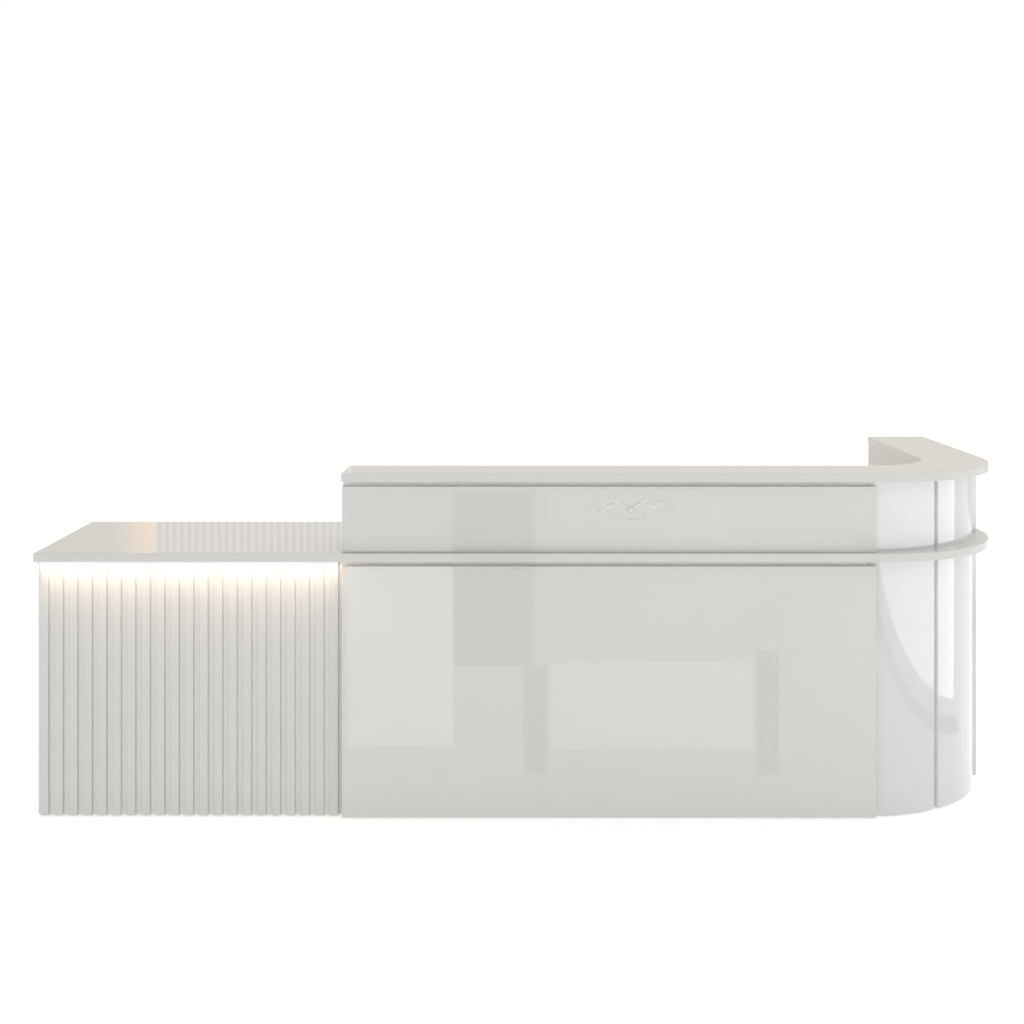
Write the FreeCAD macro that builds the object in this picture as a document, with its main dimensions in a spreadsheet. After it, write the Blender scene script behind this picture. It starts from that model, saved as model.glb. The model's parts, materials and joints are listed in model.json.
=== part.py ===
"""Checkout counter: a low slatted module, a tall main module and a wing that turns a rounded corner.

FreeCAD macro, millimetres, +Z up. Customers stand at -Y and staff at +Y. The origin is on the floor, at
the middle of the counter's box. Every size is a cell of the spreadsheet "sizes"."""

import FreeCAD, Part
import os
import re
import Sketcher

from FreeCAD import Placement, Rotation, Vector

SIZES = {
    # overall
    "counter_length": 2850,
    "counter_height": 1000,
    "counter_depth": 1100,
    "desk_height": 770,
    "desk_depth": 600,
    "low_length": 885,
    "wing_width": 425,
    "ledge_width": 200,
    # boards
    "slab": 25,
    "panel": 18,
    "backing": 12,
    "bent_panel": 9,
    "arris": 2,
    "panel_arris": 1,
    "floor_gap": 5,
    # customer face
    "face_overhang": 20,
    "slat_setback": 17,
    "slat_board": 18,
    "slat_depth": 10,
    "slat_width": 23.5,
    "slat_pitch": 42,
    "slat_margin": 8.5,
    "reveal": 15,
    # rounded corner
    "corner_radius": 410,
    "curve_radius": 410,
    "side_start": 405,
    "joint_angle": 31.8,
    "joint_gap": 18,
    "joint_cover": 12,
    "joint_strip": 6,
    "former_width": 100,
    # staff side
    "carcass_inset": 10,
    "inner_inset": 2,
    "kick_height": 60,
    "kick_inset": 50,
    "rail_width": 80,
    "rail_height": 75,
    "pedestal_width": 432,
    "front_gap": 3,
    "shelf_height": 400,
    "shelf_play": 1,
    "shelf_inset": 30,
    # doors and their hinges
    "hinge_height": 60,
    "hinge_end": 70,
    "leaf": 1.2,
    "leaf_width": 17,
    "barrel_radius": 3.5,
    "pin_radius": 1.5,
    "running_gap": 0.05,
    "knuckle_gap": 0.3,
    # pulls
    "pull_span": 128,
    "pull_length": 160,
    "pull_radius": 5,
    "post_radius": 4,
    "pull_reach": 25,
    "pull_edge": 45,
    # drawers and slides
    "upper_drawer": 180,
    "box_board": 12,
    "box_base": 6,
    "box_clear": 62,
    "box_drop": 34,
    "box_lift": 16,
    "slide_gap": 12.7,
    "slide_height": 45,
    "slide_clear": 10,
    "slide_sheet": 1.2,
    "slide_nest": 3,
    "slide_shell": 9.5,
    # lock
    "lock_drop": 18,
    "lock_radius": 9,
    "lock_flange": 11,
    "lock_rim": 2,
    "lock_length": 22,
    "plug_radius": 6,
    "key_slot": 1.5,
    "cam_length": 28,
    "cam_width": 8,
    "cam_sheet": 2,
    # keyboard tray
    "tray_width": 640,
    "tray_depth": 300,
    "tray_offset": 60,
    "tray_clear": 75,
    "tray_stop": 10,
    "hanger_foot": 30,
    # cable grommet
    "grommet_radius": 30,
    "grommet_flange": 34,
    "grommet_bore": 25,
    "grommet_depth": 20,
    "grommet_lip": 2,
    "grommet_seat": 27,
    "cap_radius": 26.8,
    "cap_thickness": 2.5,
    "cap_notch": 14,
    "grommet_side": 175,
    "grommet_back": 300,
    # light strip
    "light_setback": 14,
    "light_width": 12,
    "light_height": 8,
    "light_wall": 1,
    "light_end": 8,
    "light_cap": 2,
    "light_board": 0.6,
    "driver_length": 160,
    "driver_width": 45,
    "driver_height": 25,
    "driver_side": 30,
    # light switch
    "switch_back": 60,
    "switch_drop": 95,
    "switch_height": 30,
    "switch_width": 20,
    "switch_rim": 2,
    "switch_depth": 12,
    "rocker_width": 12,
    "rocker_radius": 10,
    "rocker_gap": 0.3,
    # fasteners and feet
    "bolt_radius": 3,
    "bolt_head": 7.5,
    "bolt_rim": 1.5,
    "bolt_inset": 120,
    "bolt_drop": 60,
    "shelf_pin": 2.5,
    "shelf_pin_reach": 8,
    "shelf_pin_end": 60,
    "foot_radius": 8.5,
    "foot_stem": 4,
    "foot_grip": 30,
    "foot_end": 60,
}

# Places that several pieces share, in words of SIZES and of each other.
PLACES = {
    "left": "-counter_length / 2",
    "right": "counter_length / 2",
    "front": "-counter_depth / 2",
    "rear": "counter_depth / 2",
    "low_seam": "left + low_length",
    "wing_seam": "right - wing_width",
    "desk_rear": "front + desk_depth",
    "desk_under": "desk_height - slab",
    "ledge_under": "counter_height - slab",
    "ledge_rear": "front + ledge_width",
    "ledge_inside": "right - ledge_width",
    "ledge_x": "right - corner_radius",
    "ledge_y": "front + corner_radius",
    "face": "front + face_overhang",
    "face_back": "face + panel",
    "face_core": "face_back + backing",
    "side_face": "right - face_overhang",
    "side_back": "side_face - panel",
    "side_core": "side_back - backing",
    "slat_face": "face + slat_setback",
    "slat_back": "slat_face + slat_board",
    "carcass_rear": "desk_rear - carcass_inset",
    "front_back": "carcass_rear - panel",
    "curve_x": "side_back - curve_radius",
    "curve_y": "face_back + curve_radius",
    "curve_inside": "curve_radius - bent_panel",
    "bottom_top": "kick_height + panel",
    "rail_under": "desk_under - panel",
    "low_inside": "left + panel",
    "low_far": "low_seam - panel",
    "pedestal_left": "low_seam + panel",
    "pedestal_right": "pedestal_left + pedestal_width",
    "knee_left": "pedestal_right + panel",
    "knee_right": "wing_seam + carcass_inset",
    "knee_far": "knee_right + panel",
    "wing_front": "desk_rear + panel",
    "wing_rear": "rear - panel",
    "opening_bottom": "bottom_top + front_gap",
    "opening_top": "rail_under - front_gap",
    "drawer_seam": "opening_top - upper_drawer",
    "box_back": "face_core + box_clear",
    "door_width": "(low_far - low_inside - 3 * front_gap) / 2",
    "hinge_y": "carcass_rear + barrel_radius + knuckle_gap",
    "tray_left": "knee_left + tray_offset",
    "tray_right": "tray_left + tray_width",
    "tray_top": "desk_under - tray_clear",
    "tray_middle": "tray_top - panel / 2",
    "lock_x": "(pedestal_left + pedestal_right) / 2",
    "lock_z": "opening_top - lock_drop",
    "lock_inner": "carcass_rear - lock_length",
    "grommet_x": "wing_seam - grommet_side",
    "grommet_y": "front + grommet_back",
    "light_y": "front + light_setback",
    "light_under": "desk_under - light_height",
    "switch_y": "carcass_rear - switch_back",
    "switch_z": "desk_under - switch_drop",
    "hutch_wall": "ledge_inside + inner_inset",
    "hutch_core": "hutch_wall + panel",
    "groove": "slat_pitch - slat_width",
}

# The two heights between floor and worktop, and between worktop and ledge.
LEVELS = {"lower": ("floor_gap", "desk_under"), "upper": ("desk_height", "ledge_under")}

ALONG = {
    "x": Rotation(Vector(0, 1, 0), 90),
    "y": Rotation(Vector(1, 0, 0), -90),
    "z": Rotation(),
}

doc = FreeCAD.newDocument("checkout_counter")
sheet = doc.addObject("Spreadsheet::Sheet", "sizes")
for row, (alias, size) in enumerate(SIZES.items(), start=1):
    sheet.set(f"A{row}", alias)
    sheet.set(f"B{row}", str(size))
    sheet.setAlias(f"B{row}", alias)
doc.recompute()
subparts = []


# ---- expressions


def words(text):
    """Turns words of SIZES and PLACES into a spreadsheet expression."""

    def full(found):
        word = found.group(0)
        if word in PLACES:
            return f"({words(PLACES[word])})"
        return f"sizes.{word}" if word in SIZES else word

    return re.sub(r"[a-z][a-z_]*", full, str(text))


def bind(thing, name, text):
    thing.setExpression(name, words(text))


def number(text):
    """What an expression comes to now."""
    return float(sheet.evalExpression(words(text)))


# ---- Part solids


def put(thing, x, y, z):
    for axis, text in zip("xyz", (x, y, z)):
        bind(thing, f"Placement.Base.{axis}", text)
    return thing


def box(x, y, z, name="Board"):
    """A board between two places along each axis."""
    made = doc.addObject("Part::Box", name)
    for length, (low, high) in zip(("Length", "Width", "Height"), (x, y, z)):
        bind(made, length, f"({high}) - ({low})")
    return put(made, x[0], y[0], z[0])


def rod(x, y, z, radius, length, along="z"):
    """A cylinder from a point along an axis."""
    made = doc.addObject("Part::Cylinder", "Rod")
    bind(made, "Radius", radius)
    bind(made, "Height", length)
    made.Placement = Placement(Vector(), ALONG[along])
    return put(made, x, y, z)


def group(pieces, kind="Part::Compound", name="Group"):
    made = doc.addObject(kind, name)
    if kind == "Part::Compound":
        made.Links = list(pieces)
    else:
        made.Shapes = list(pieces)
    return made


def fuse(*pieces):
    return group(pieces, "Part::MultiFuse", "Fusion")


def common(*pieces):
    return group(pieces, "Part::MultiCommon", "Common")


def cut(base, *tools):
    made = doc.addObject("Part::Cut", "Cut")
    made.Base = base
    made.Tool = tools[0] if len(tools) == 1 else group(tools)
    return made


def ring(outer, inner, z, start, sweep, x="curve_x", y="curve_y"):
    """A sector of a ring: it starts at start degrees round from the front, towards the wing, and sweeps on."""
    made = doc.addObject("Part::Cylinder", "Sector")
    core = doc.addObject("Part::Cylinder", "Core")
    for cylinder, radius in ((made, outer), (core, inner)):
        bind(cylinder, "Radius", radius)
        bind(cylinder, "Height", f"({z[1]}) - ({z[0]})")
        put(cylinder, x, y, z[0])
    bind(made, "Angle", f"({sweep}) * 1 deg")
    bind(made, "Placement.Rotation.Angle", f"({start} - 90) * 1 deg")
    return cut(made, core)


def ordered(origin, side, near, far):
    """Two places at distances from an origin, towards one side."""
    if side > 0:
        return f"{origin} + {near}", f"{origin} + {far}"
    return f"{origin} - ({far})", f"{origin} - ({near})"


def subpart(label, *pieces):
    """Names one node: one object, or a group of separate solids."""
    made = pieces[0] if len(pieces) == 1 else group(pieces)
    made.Label = label
    subparts.append(made)
    return made


# ---- PartDesign bodies


def sketch_on(body, role, offset="0"):
    """A sketch on one of a body's origin planes, moved out of it by a bound distance."""
    made = body.newObject("Sketcher::SketchObject", "Sketch")
    plane = next(item for item in body.Origin.OriginFeatures if item.Role == role)
    made.AttachmentSupport = (plane, [""])
    made.MapMode = "FlatFace"
    bind(made, "AttachmentOffset.Base.z", offset)
    return made


def hold(sketch, kind, edge, point, text):
    """Binds the distance of one point from the sketch's origin."""
    made = sketch.addConstraint(Sketcher.Constraint(kind, -1, 1, edge, point, number(text)))
    bind(sketch, f"Constraints[{made}]", text)


def polygon(sketch, corners):
    """A closed outline whose corners are bound places."""
    points = [Vector(number(x), number(y)) for x, y in corners]
    first = len(sketch.Geometry)
    count = len(points)
    for start, end in zip(points, points[1:] + points[:1]):
        sketch.addGeometry(Part.LineSegment(start, end))
    for side in range(count):
        following = first + (side + 1) % count
        sketch.addConstraint(Sketcher.Constraint("Coincident", first + side, 2, following, 1))
    for side, (x, y) in enumerate(corners):
        hold(sketch, "DistanceX", first + side, 1, x)
        hold(sketch, "DistanceY", first + side, 1, y)
    return sketch


def rectangle(sketch, x, y):
    return polygon(sketch, [(x[0], y[0]), (x[1], y[0]), (x[1], y[1]), (x[0], y[1])])


def circle(sketch, x, y, radius):
    made = sketch.addGeometry(Part.Circle(Vector(number(x), number(y)), Vector(0, 0, 1), number(radius)))
    hold(sketch, "DistanceX", made, 3, x)
    hold(sketch, "DistanceY", made, 3, y)
    bound = sketch.addConstraint(Sketcher.Constraint("Radius", made, number(radius)))
    bind(sketch, f"Constraints[{bound}]", radius)
    return sketch


def pad(body, sketch, length):
    made = body.newObject("PartDesign::Pad", "Pad")
    made.Profile = sketch
    bind(made, "Length", length)
    doc.recompute()
    return made


def pocket(body, sketch, depth):
    """A pocket into the solid, opposite to the sketch's normal."""
    before = body.Tip.Shape.Volume
    made = body.newObject("PartDesign::Pocket", "Pocket")
    made.Profile = sketch
    bind(made, "Length", depth)
    doc.recompute()
    if made.Shape.Volume >= before:
        raise RuntimeError(f"{body.Name}: the pocket cuts nothing")
    return made


def soften(body, chosen, radius):
    """Fillets the edges of a body's solid that a test picks."""
    base = body.Tip
    edges = [f"Edge{i}" for i, edge in enumerate(base.Shape.Edges, start=1) if chosen(edge)]
    if not edges:
        raise RuntimeError(f"{body.Name}: no edge to fillet")
    made = body.newObject("PartDesign::Fillet", "Fillet")
    made.Base = (base, edges)
    bind(made, "Radius", radius)
    doc.recompute()
    return made


def level(edge, height):
    """Whether an edge lies flat at a height."""
    return abs(edge.BoundBox.ZMin - height) < 1e-6 and abs(edge.BoundBox.ZMax - height) < 1e-6


def upright_at(x, y):
    """A test for the upright edge at one corner of a plan."""
    place = Vector(number(x), number(y), 0)

    def test(edge):
        middle = edge.CenterOfMass
        flat = Vector(middle.x, middle.y, 0)
        return edge.BoundBox.ZLength > 1 and flat.distanceToPoint(place) < 0.01

    return test


def slab(corners, under, top, rounds):
    """A horizontal slab with some corners rounded and a small round along its top and bottom edges."""
    body = doc.addObject("PartDesign::Body", "Body")
    pad(body, polygon(sketch_on(body, "XY_Plane", under), corners), f"{top} - ({under})")
    for x, y, radius in rounds:
        soften(body, upright_at(x, y), radius)
    levels = (number(under), number(top))
    soften(body, lambda edge: any(level(edge, height) for height in levels), "arris")
    return body


def front_panel(label, x, z):
    """A flat panel on the customers' side, with eased edges round its outer face."""
    body = doc.addObject("PartDesign::Body", "Body")
    pad(body, rectangle(sketch_on(body, "XZ_Plane", "-face_back"), x, z), "panel")
    outer = number("face")
    soften(body, lambda edge: abs(edge.BoundBox.YMax - outer) < 1e-6, "panel_arris")
    subpart(label, body)


def side_panel(label, y, z):
    """The same on the wing's outer side."""
    body = doc.addObject("PartDesign::Body", "Body")
    pad(body, rectangle(sketch_on(body, "YZ_Plane", "side_back"), y, z), "panel")
    outer = number("side_face")
    soften(body, lambda edge: abs(edge.BoundBox.XMin - outer) < 1e-6, "panel_arris")
    subpart(label, body)


# ---- tops


def build_worktop():
    corners = [
        ("left", "front"),
        ("right", "front"),
        ("right", "rear"),
        ("wing_seam", "rear"),
        ("wing_seam", "desk_rear"),
        ("left", "desk_rear"),
    ]
    body = slab(corners, "desk_under", "desk_height", [("right", "front", "corner_radius")])
    hole = circle(sketch_on(body, "XY_Plane", "desk_height"), "grommet_x", "grommet_y", "grommet_radius")
    pocket(body, hole, "slab")
    subpart("worktop", body)


def build_ledge():
    corners = [
        ("low_seam", "front"),
        ("right", "front"),
        ("right", "rear"),
        ("ledge_inside", "rear"),
        ("ledge_inside", "ledge_rear"),
        ("low_seam", "ledge_rear"),
    ]
    rounds = [
        ("right", "front", "corner_radius"),
        ("ledge_inside", "ledge_rear", "corner_radius - ledge_width"),
    ]
    subpart("ledge", slab(corners, "ledge_under", "counter_height", rounds))


def build_grommet():
    """A flanged ring in the worktop, and a cap with a cable notch that turns in its seat."""
    body = doc.addObject("PartDesign::Body", "Body")
    sketch = sketch_on(body, "XZ_Plane")
    outline = [
        ("grommet_bore", "-grommet_depth"),
        ("grommet_radius", "-grommet_depth"),
        ("grommet_radius", "0"),
        ("grommet_flange", "0"),
        ("grommet_flange", "grommet_lip"),
        ("grommet_seat", "grommet_lip"),
        ("grommet_seat", "grommet_lip - cap_thickness"),
        ("grommet_bore", "grommet_lip - cap_thickness"),
    ]
    polygon(sketch, outline)
    turned = body.newObject("PartDesign::Revolution", "Revolution")
    turned.Profile = sketch
    turned.ReferenceAxis = (sketch, ["V_Axis"])
    turned.Angle = 360
    put(body, "grommet_x", "grommet_y", "desk_height")
    subpart("grommet_ring", body)
    bottom = "desk_height + grommet_lip - cap_thickness"
    disc = rod("grommet_x", "grommet_y", bottom, "cap_radius", "cap_thickness")
    notch = box(
        ("grommet_x - cap_notch / 2", "grommet_x + cap_notch / 2"),
        ("grommet_y + cap_radius - cap_notch", "grommet_y + cap_radius + 1"),
        (f"{bottom} - 1", f"{bottom} + cap_thickness + 1"),
    )
    subpart("grommet_cap", cut(disc, notch))


# ---- customer face


def build_slatted_front():
    """A board with upright grooves milled at an even pitch."""
    body = doc.addObject("PartDesign::Body", "Body")
    board = rectangle(
        sketch_on(body, "XZ_Plane", "-slat_back"), ("left", "low_seam"), ("floor_gap", "desk_under")
    )
    pad(body, board, "slat_board")
    groove = rectangle(
        sketch_on(body, "XZ_Plane", "-slat_face"),
        ("left + slat_margin - groove", "left + slat_margin"),
        ("floor_gap - 1", "desk_under + 1"),
    )
    first = pocket(body, groove, "slat_depth")
    row_of = body.newObject("PartDesign::LinearPattern", "Grooves")
    row_of.Originals = [first]
    row_of.Direction = (groove, ["H_Axis"])
    count = "floor((low_length - slat_margin + groove) / slat_pitch)"
    bind(row_of, "Length", f"{count} * slat_pitch")
    bind(row_of, "Occurrences", f"{count} + 1")
    body.Tip = row_of
    subpart("slatted_front", body)


def build_face():
    """Flat panels, which hang proud of the boards that carry them, with a shadow gap above each."""
    for name, (under, top) in LEVELS.items():
        z = (under, f"{top} - reveal")
        front_panel(f"front_panel_{name}", ("low_seam", "wing_seam"), z)
        side_panel(f"side_panel_{name}", ("front + side_start", "rear"), z)
    fronts = [box(("low_seam", "curve_x"), ("face_back", "face_core"), z) for z in LEVELS.values()]
    subpart("front_backing", *fronts)
    sides = [box(("side_core", "side_back"), ("curve_y", "rear"), z) for z in LEVELS.values()]
    subpart("side_backing", *sides)


def build_corner():
    """Two bent panels on each level, the strip behind the joint between them, and the formers inside."""
    half_gap = "(joint_gap / 2 / curve_radius * 180 / pi)"
    half_strip = "((joint_gap / 2 + joint_cover) / curve_radius * 180 / pi)"
    first = ("0", f"joint_angle - {half_gap}")
    second = (f"joint_angle + {half_gap}", f"90 - joint_angle - {half_gap}")
    strip = (f"joint_angle - {half_strip}", f"2 * {half_strip}")
    for name, z in LEVELS.items():
        bent = [ring("curve_radius", "curve_inside", z, *sector) for sector in (first, second)]
        subpart(f"bent_panels_{name}", *bent)
    strip_inside = "curve_inside - joint_strip"
    subpart("corner_strips", *(ring("curve_inside", strip_inside, z, *strip) for z in LEVELS.values()))

    # The formers start clear of the kneehole's end board.
    former_inside = "(curve_inside - former_width)"
    start = f"(asin((knee_far + shelf_play - curve_x) / {former_inside}) / 1 deg)"
    formers = []
    for bottom in ("kick_height", "shelf_height", "rail_under", "desk_height", "ledge_under - panel"):
        z = (bottom, f"{bottom} + panel")
        former = ring("curve_inside", former_inside, z, start, f"90 - {start}")
        notch = ring("curve_radius", strip_inside, z, *strip)
        formers.append(cut(former, notch))
    subpart("corner_formers", *formers)


# ---- carcass


def feet_places():
    """Under each upright board: two feet along Y, or two along X under the wing's cross boards."""
    along_y = [
        ("left + panel / 2", "slat_back"),
        ("low_far + panel / 2", "slat_back"),
        ("low_seam + panel / 2", "slat_back"),
        ("pedestal_right + panel / 2", "slat_back"),
        ("knee_right + panel / 2", "slat_back"),
    ]
    places = [(x, f"{y} + foot_end") for x, y in along_y]
    places += [(x, "carcass_rear - foot_end") for x, y in along_y]
    for y in ("desk_rear + panel / 2", "wing_rear + panel / 2"):
        places += [("knee_far + foot_end", y), ("side_core - foot_end", y)]
    return places


def build_carcass():
    """Uprights with the holes for what is fixed in them."""
    stems = [rod(x, y, "floor_gap", "foot_stem", "foot_grip") for x, y in feet_places()]
    discs = [rod(x, y, "0", "foot_radius", "floor_gap") for x, y in feet_places()]
    subpart("feet", *(fuse(disc, stem) for disc, stem in zip(discs, stems)))

    pin_height = "shelf_height - shelf_pin"
    pin_length = "shelf_pin_reach * 2"
    low_y = ("slat_back + shelf_pin_end", "front_back - shelf_inset - shelf_pin_end")
    wing_x = ("knee_right + shelf_inset + shelf_pin_end", "side_core - shelf_pin_end")
    pins = [
        rod(f"{x} - shelf_pin_reach", y, pin_height, "shelf_pin", pin_length, "x")
        for x in ("low_inside", "low_far")
        for y in low_y
    ]
    pins += [
        rod(x, f"{y} - shelf_pin_reach", pin_height, "shelf_pin", pin_length, "y")
        for x in wing_x
        for y in ("wing_front", "wing_rear")
    ]
    subpart("shelf_pins", *pins)

    bolts = []
    for y in ("slat_back + bolt_inset", "carcass_rear - bolt_inset"):
        for z in ("kick_height + bolt_inset", "desk_under - bolt_drop"):
            shank = rod("low_far", y, z, "bolt_radius", "2 * panel", "x")
            ends = ("low_far - bolt_rim", "pedestal_left")
            heads = [rod(x, y, z, "bolt_head", "bolt_rim", "x") for x in ends]
            bolts.append(fuse(shank, *heads))
    subpart("joint_bolts", *bolts)

    fixings = group(stems + pins + bolts, name="Fixings")
    height = LEVELS["lower"]
    low_y = ("slat_back", "carcass_rear")
    main_y = ("face_core", "carcass_rear")
    subpart(
        "low_sides",
        cut(box(("left", "low_inside"), low_y, height), fixings),
        cut(box(("low_far", "low_seam"), low_y, height), fixings),
    )
    partition = cut(box(("pedestal_right", "knee_left"), main_y, height), fixings, switch_body())
    subpart(
        "main_uprights",
        cut(box(("low_seam", "pedestal_left"), main_y, height), fixings),
        partition,
        cut(box(("knee_right", "knee_far"), ("slat_back", "desk_rear"), height), fixings),
    )
    subpart(
        "wing_uprights",
        cut(box(("knee_right", "side_core"), ("desk_rear", "wing_front"), height), fixings),
        cut(box(("knee_right", "side_core"), ("wing_rear", "rear"), height), fixings),
    )


def build_boards():
    """Bottoms, rails under the worktop, kick boards and shelves."""
    bottom = ("kick_height", "bottom_top")
    top = ("rail_under", "desk_under")
    low = ("low_inside", "low_far")
    pedestal = ("pedestal_left", "pedestal_right")
    wing_x = ("knee_right", "side_core")
    wing_y = ("wing_front", "wing_rear")
    subpart(
        "bottom_boards",
        box(low, ("slat_back", "carcass_rear"), bottom),
        box(pedestal, ("face_core", "carcass_rear"), bottom),
        box(wing_x, wing_y, bottom),
    )
    knee = ("knee_left", "knee_right")
    rear_rail = ("carcass_rear - rail_width", "carcass_rear")
    mortise = box(
        ("lock_x - cam_width", "lock_x + cam_length + cam_width"),
        ("lock_inner - 2 * cam_sheet", "lock_inner + cam_sheet"),
        ("rail_under - 1", "desk_under + 1"),
    )
    subpart(
        "top_rails",
        box(low, ("slat_back", "slat_back + rail_width"), top),
        box(low, rear_rail, top),
        box(pedestal, ("face_core", "face_core + rail_width"), top),
        cut(box(pedestal, rear_rail, top), mortise),
        box(knee, ("face_core", "face_core + panel"), ("desk_under - rail_height", "desk_under")),
        box(("knee_right", "knee_right + rail_width"), wing_y, top),
        box(("side_core - rail_width", "side_core"), wing_y, top),
    )
    kick = ("floor_gap", "kick_height")
    kick_y = ("carcass_rear - kick_inset - panel", "carcass_rear - kick_inset")
    subpart(
        "kick_boards",
        box(low, kick_y, kick),
        box(pedestal, kick_y, kick),
        box(("knee_right + kick_inset", "knee_right + kick_inset + panel"), wing_y, kick),
    )
    shelf = ("shelf_height", "shelf_height + panel")
    subpart(
        "shelves",
        box(
            ("low_inside + shelf_play", "low_far - shelf_play"),
            ("slat_back + shelf_play", "front_back - shelf_inset"),
            shelf,
        ),
        box(
            ("knee_right + shelf_inset", "side_core - shelf_play"),
            ("wing_front + shelf_play", "wing_rear - shelf_play"),
            shelf,
        ),
    )


def build_hutch():
    """The raised part on the worktop: open to the staff along the front, closed round the corner."""
    height = LEVELS["upper"]
    depth = ("face_core", "ledge_rear - inner_inset")
    pitch = "(ledge_x - panel - low_seam) / 4"
    starts = [f"low_seam + {i} * {pitch}" for i in range(5)]
    subpart("hutch_dividers", *(box((x, f"{x} + panel"), depth, height) for x in starts))
    straight = box(("hutch_wall", "hutch_core"), ("ledge_y", "wing_rear"), height)
    outer = "corner_radius - ledge_width + inner_inset + bent_panel"
    bent = ring(outer, f"{outer} - bent_panel", height, "0", "90", "ledge_x", "ledge_y")
    end = box(("hutch_wall", "side_core"), ("wing_rear", "rear"), height)
    subpart("hutch_wall", straight, bent, end)


# ---- doors


def leaf(x, side, z, knuckles, bore, play):
    """One leaf of a hinge, flat on the rear face, with its own thirds of the barrel."""
    flat = ("carcass_rear", "carcass_rear + leaf")
    edge = "barrel_radius + knuckle_gap"
    solids = [box(ordered(x, side, edge, "leaf_width"), flat, (z, f"{z} + hinge_height"))]
    for third in knuckles:
        low = f"{z} + {third} * hinge_height / 3 + {play}"
        high = f"{z} + {third + 1} * hinge_height / 3 - {play}"
        solids.append(box(ordered(x, side, "0", edge), flat, (low, high)))
        solids.append(rod(x, "hinge_y", low, "barrel_radius", f"{high} - ({low})"))
    return cut(fuse(*solids), rod(x, "hinge_y", f"{z} - 1", bore, "hinge_height + 2"))


def hinge(x, side, z):
    """The fixed leaf, the door's leaf and the pin of one hinge, its door towards one side of x."""
    fixed = leaf(x, -side, z, (0, 2), "pin_radius", "0")
    moving = leaf(x, side, z, (1,), "pin_radius + running_gap", "knuckle_gap")
    return fixed, moving, rod(x, "hinge_y", z, "pin_radius", "hinge_height")


def pull(x, y, z, along):
    """A bar on two posts that stand out of a face at y, along X or Z."""
    middle = f"{y} + pull_reach + pull_radius"
    posts = []
    for end in ("-pull_span / 2", "pull_span / 2"):
        place = (f"{x} + {end}", y, z) if along == "x" else (x, y, f"{z} + {end}")
        posts.append(rod(*place, "post_radius", "pull_reach + pull_radius", "y"))
    start = (f"{x} - pull_length / 2", middle, z)
    if along == "z":
        start = (x, middle, f"{z} - pull_length / 2")
    return fuse(rod(*start, "pull_radius", "pull_length", along), *posts)


def build_doors():
    heights = ("opening_bottom + hinge_end", "opening_top - hinge_end - hinge_height")
    doors = {
        "left": ("low_inside", 1, ("low_inside + front_gap", "low_inside + front_gap + door_width")),
        "right": ("low_far", -1, ("low_far - front_gap - door_width", "low_far - front_gap")),
    }
    fixed = []
    pins = []
    for name, (jamb, side, x) in doors.items():
        subpart(f"door_{name}", box(x, ("front_back", "carcass_rear"), ("opening_bottom", "opening_top")))
        axis = f"{jamb} + {side} * front_gap / 2"
        still, moving, pin = zip(*(hinge(axis, side, z) for z in heights))
        fixed += still
        pins += pin
        subpart(f"hinge_leaves_{name}", *moving)
        handle_x = f"{x[1]} - pull_edge" if side > 0 else f"{x[0]} + pull_edge"
        handle_z = "opening_top - pull_edge - pull_length / 2"
        subpart(f"pull_{name}", pull(handle_x, "carcass_rear", handle_z, "z"))
    subpart("hinge_leaves_fixed", *fixed)
    subpart("hinge_pins", *pins)


# ---- drawers


def channel(wall, side, web, lips, half, middle, y):
    """A slide member: a web and two flanges, each placed by its reach from a wall."""
    low = f"{middle} - {half}"
    high = f"{middle} + {half}"
    reach = ordered(wall, side, *lips)
    return fuse(
        box(ordered(wall, side, *web), y, (low, high)),
        box(reach, y, (low, f"{low} + slide_sheet")),
        box(reach, y, (f"{high} - slide_sheet", high)),
    )


# How far each member of a slide reaches from the wall: its web, its flanges, and its half height.
OUTER = (("0", "slide_sheet"), ("0", "slide_shell"), "slide_height / 2")
BETWEEN = (
    ("slide_nest", "slide_nest + slide_sheet"),
    ("slide_nest", "slide_shell"),
    "(slide_height / 2 - slide_nest)",
)
INNER = (
    ("slide_gap - slide_sheet", "slide_gap"),
    ("2 * slide_nest", "slide_gap"),
    "(slide_height / 2 - 2 * slide_nest)",
)


def drawer_box(x, y, z):
    """Front, back and sides round a base that is let in just above their lower edges."""
    front = box(x, (f"{y[1]} - box_board", y[1]), z)
    back = box(x, (y[0], f"{y[0]} + box_board"), z)
    inner_y = (f"{y[0]} + box_board", f"{y[1]} - box_board")
    sides = [box((x[0], f"{x[0]} + box_board"), inner_y, z), box((f"{x[1]} - box_board", x[1]), inner_y, z)]
    inner_x = (f"{x[0]} + box_board", f"{x[1]} - box_board")
    base = box(inner_x, inner_y, (f"{z[0]} + box_board", f"{z[0]} + box_board + box_base"))
    return [front, back, *sides, base]


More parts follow.
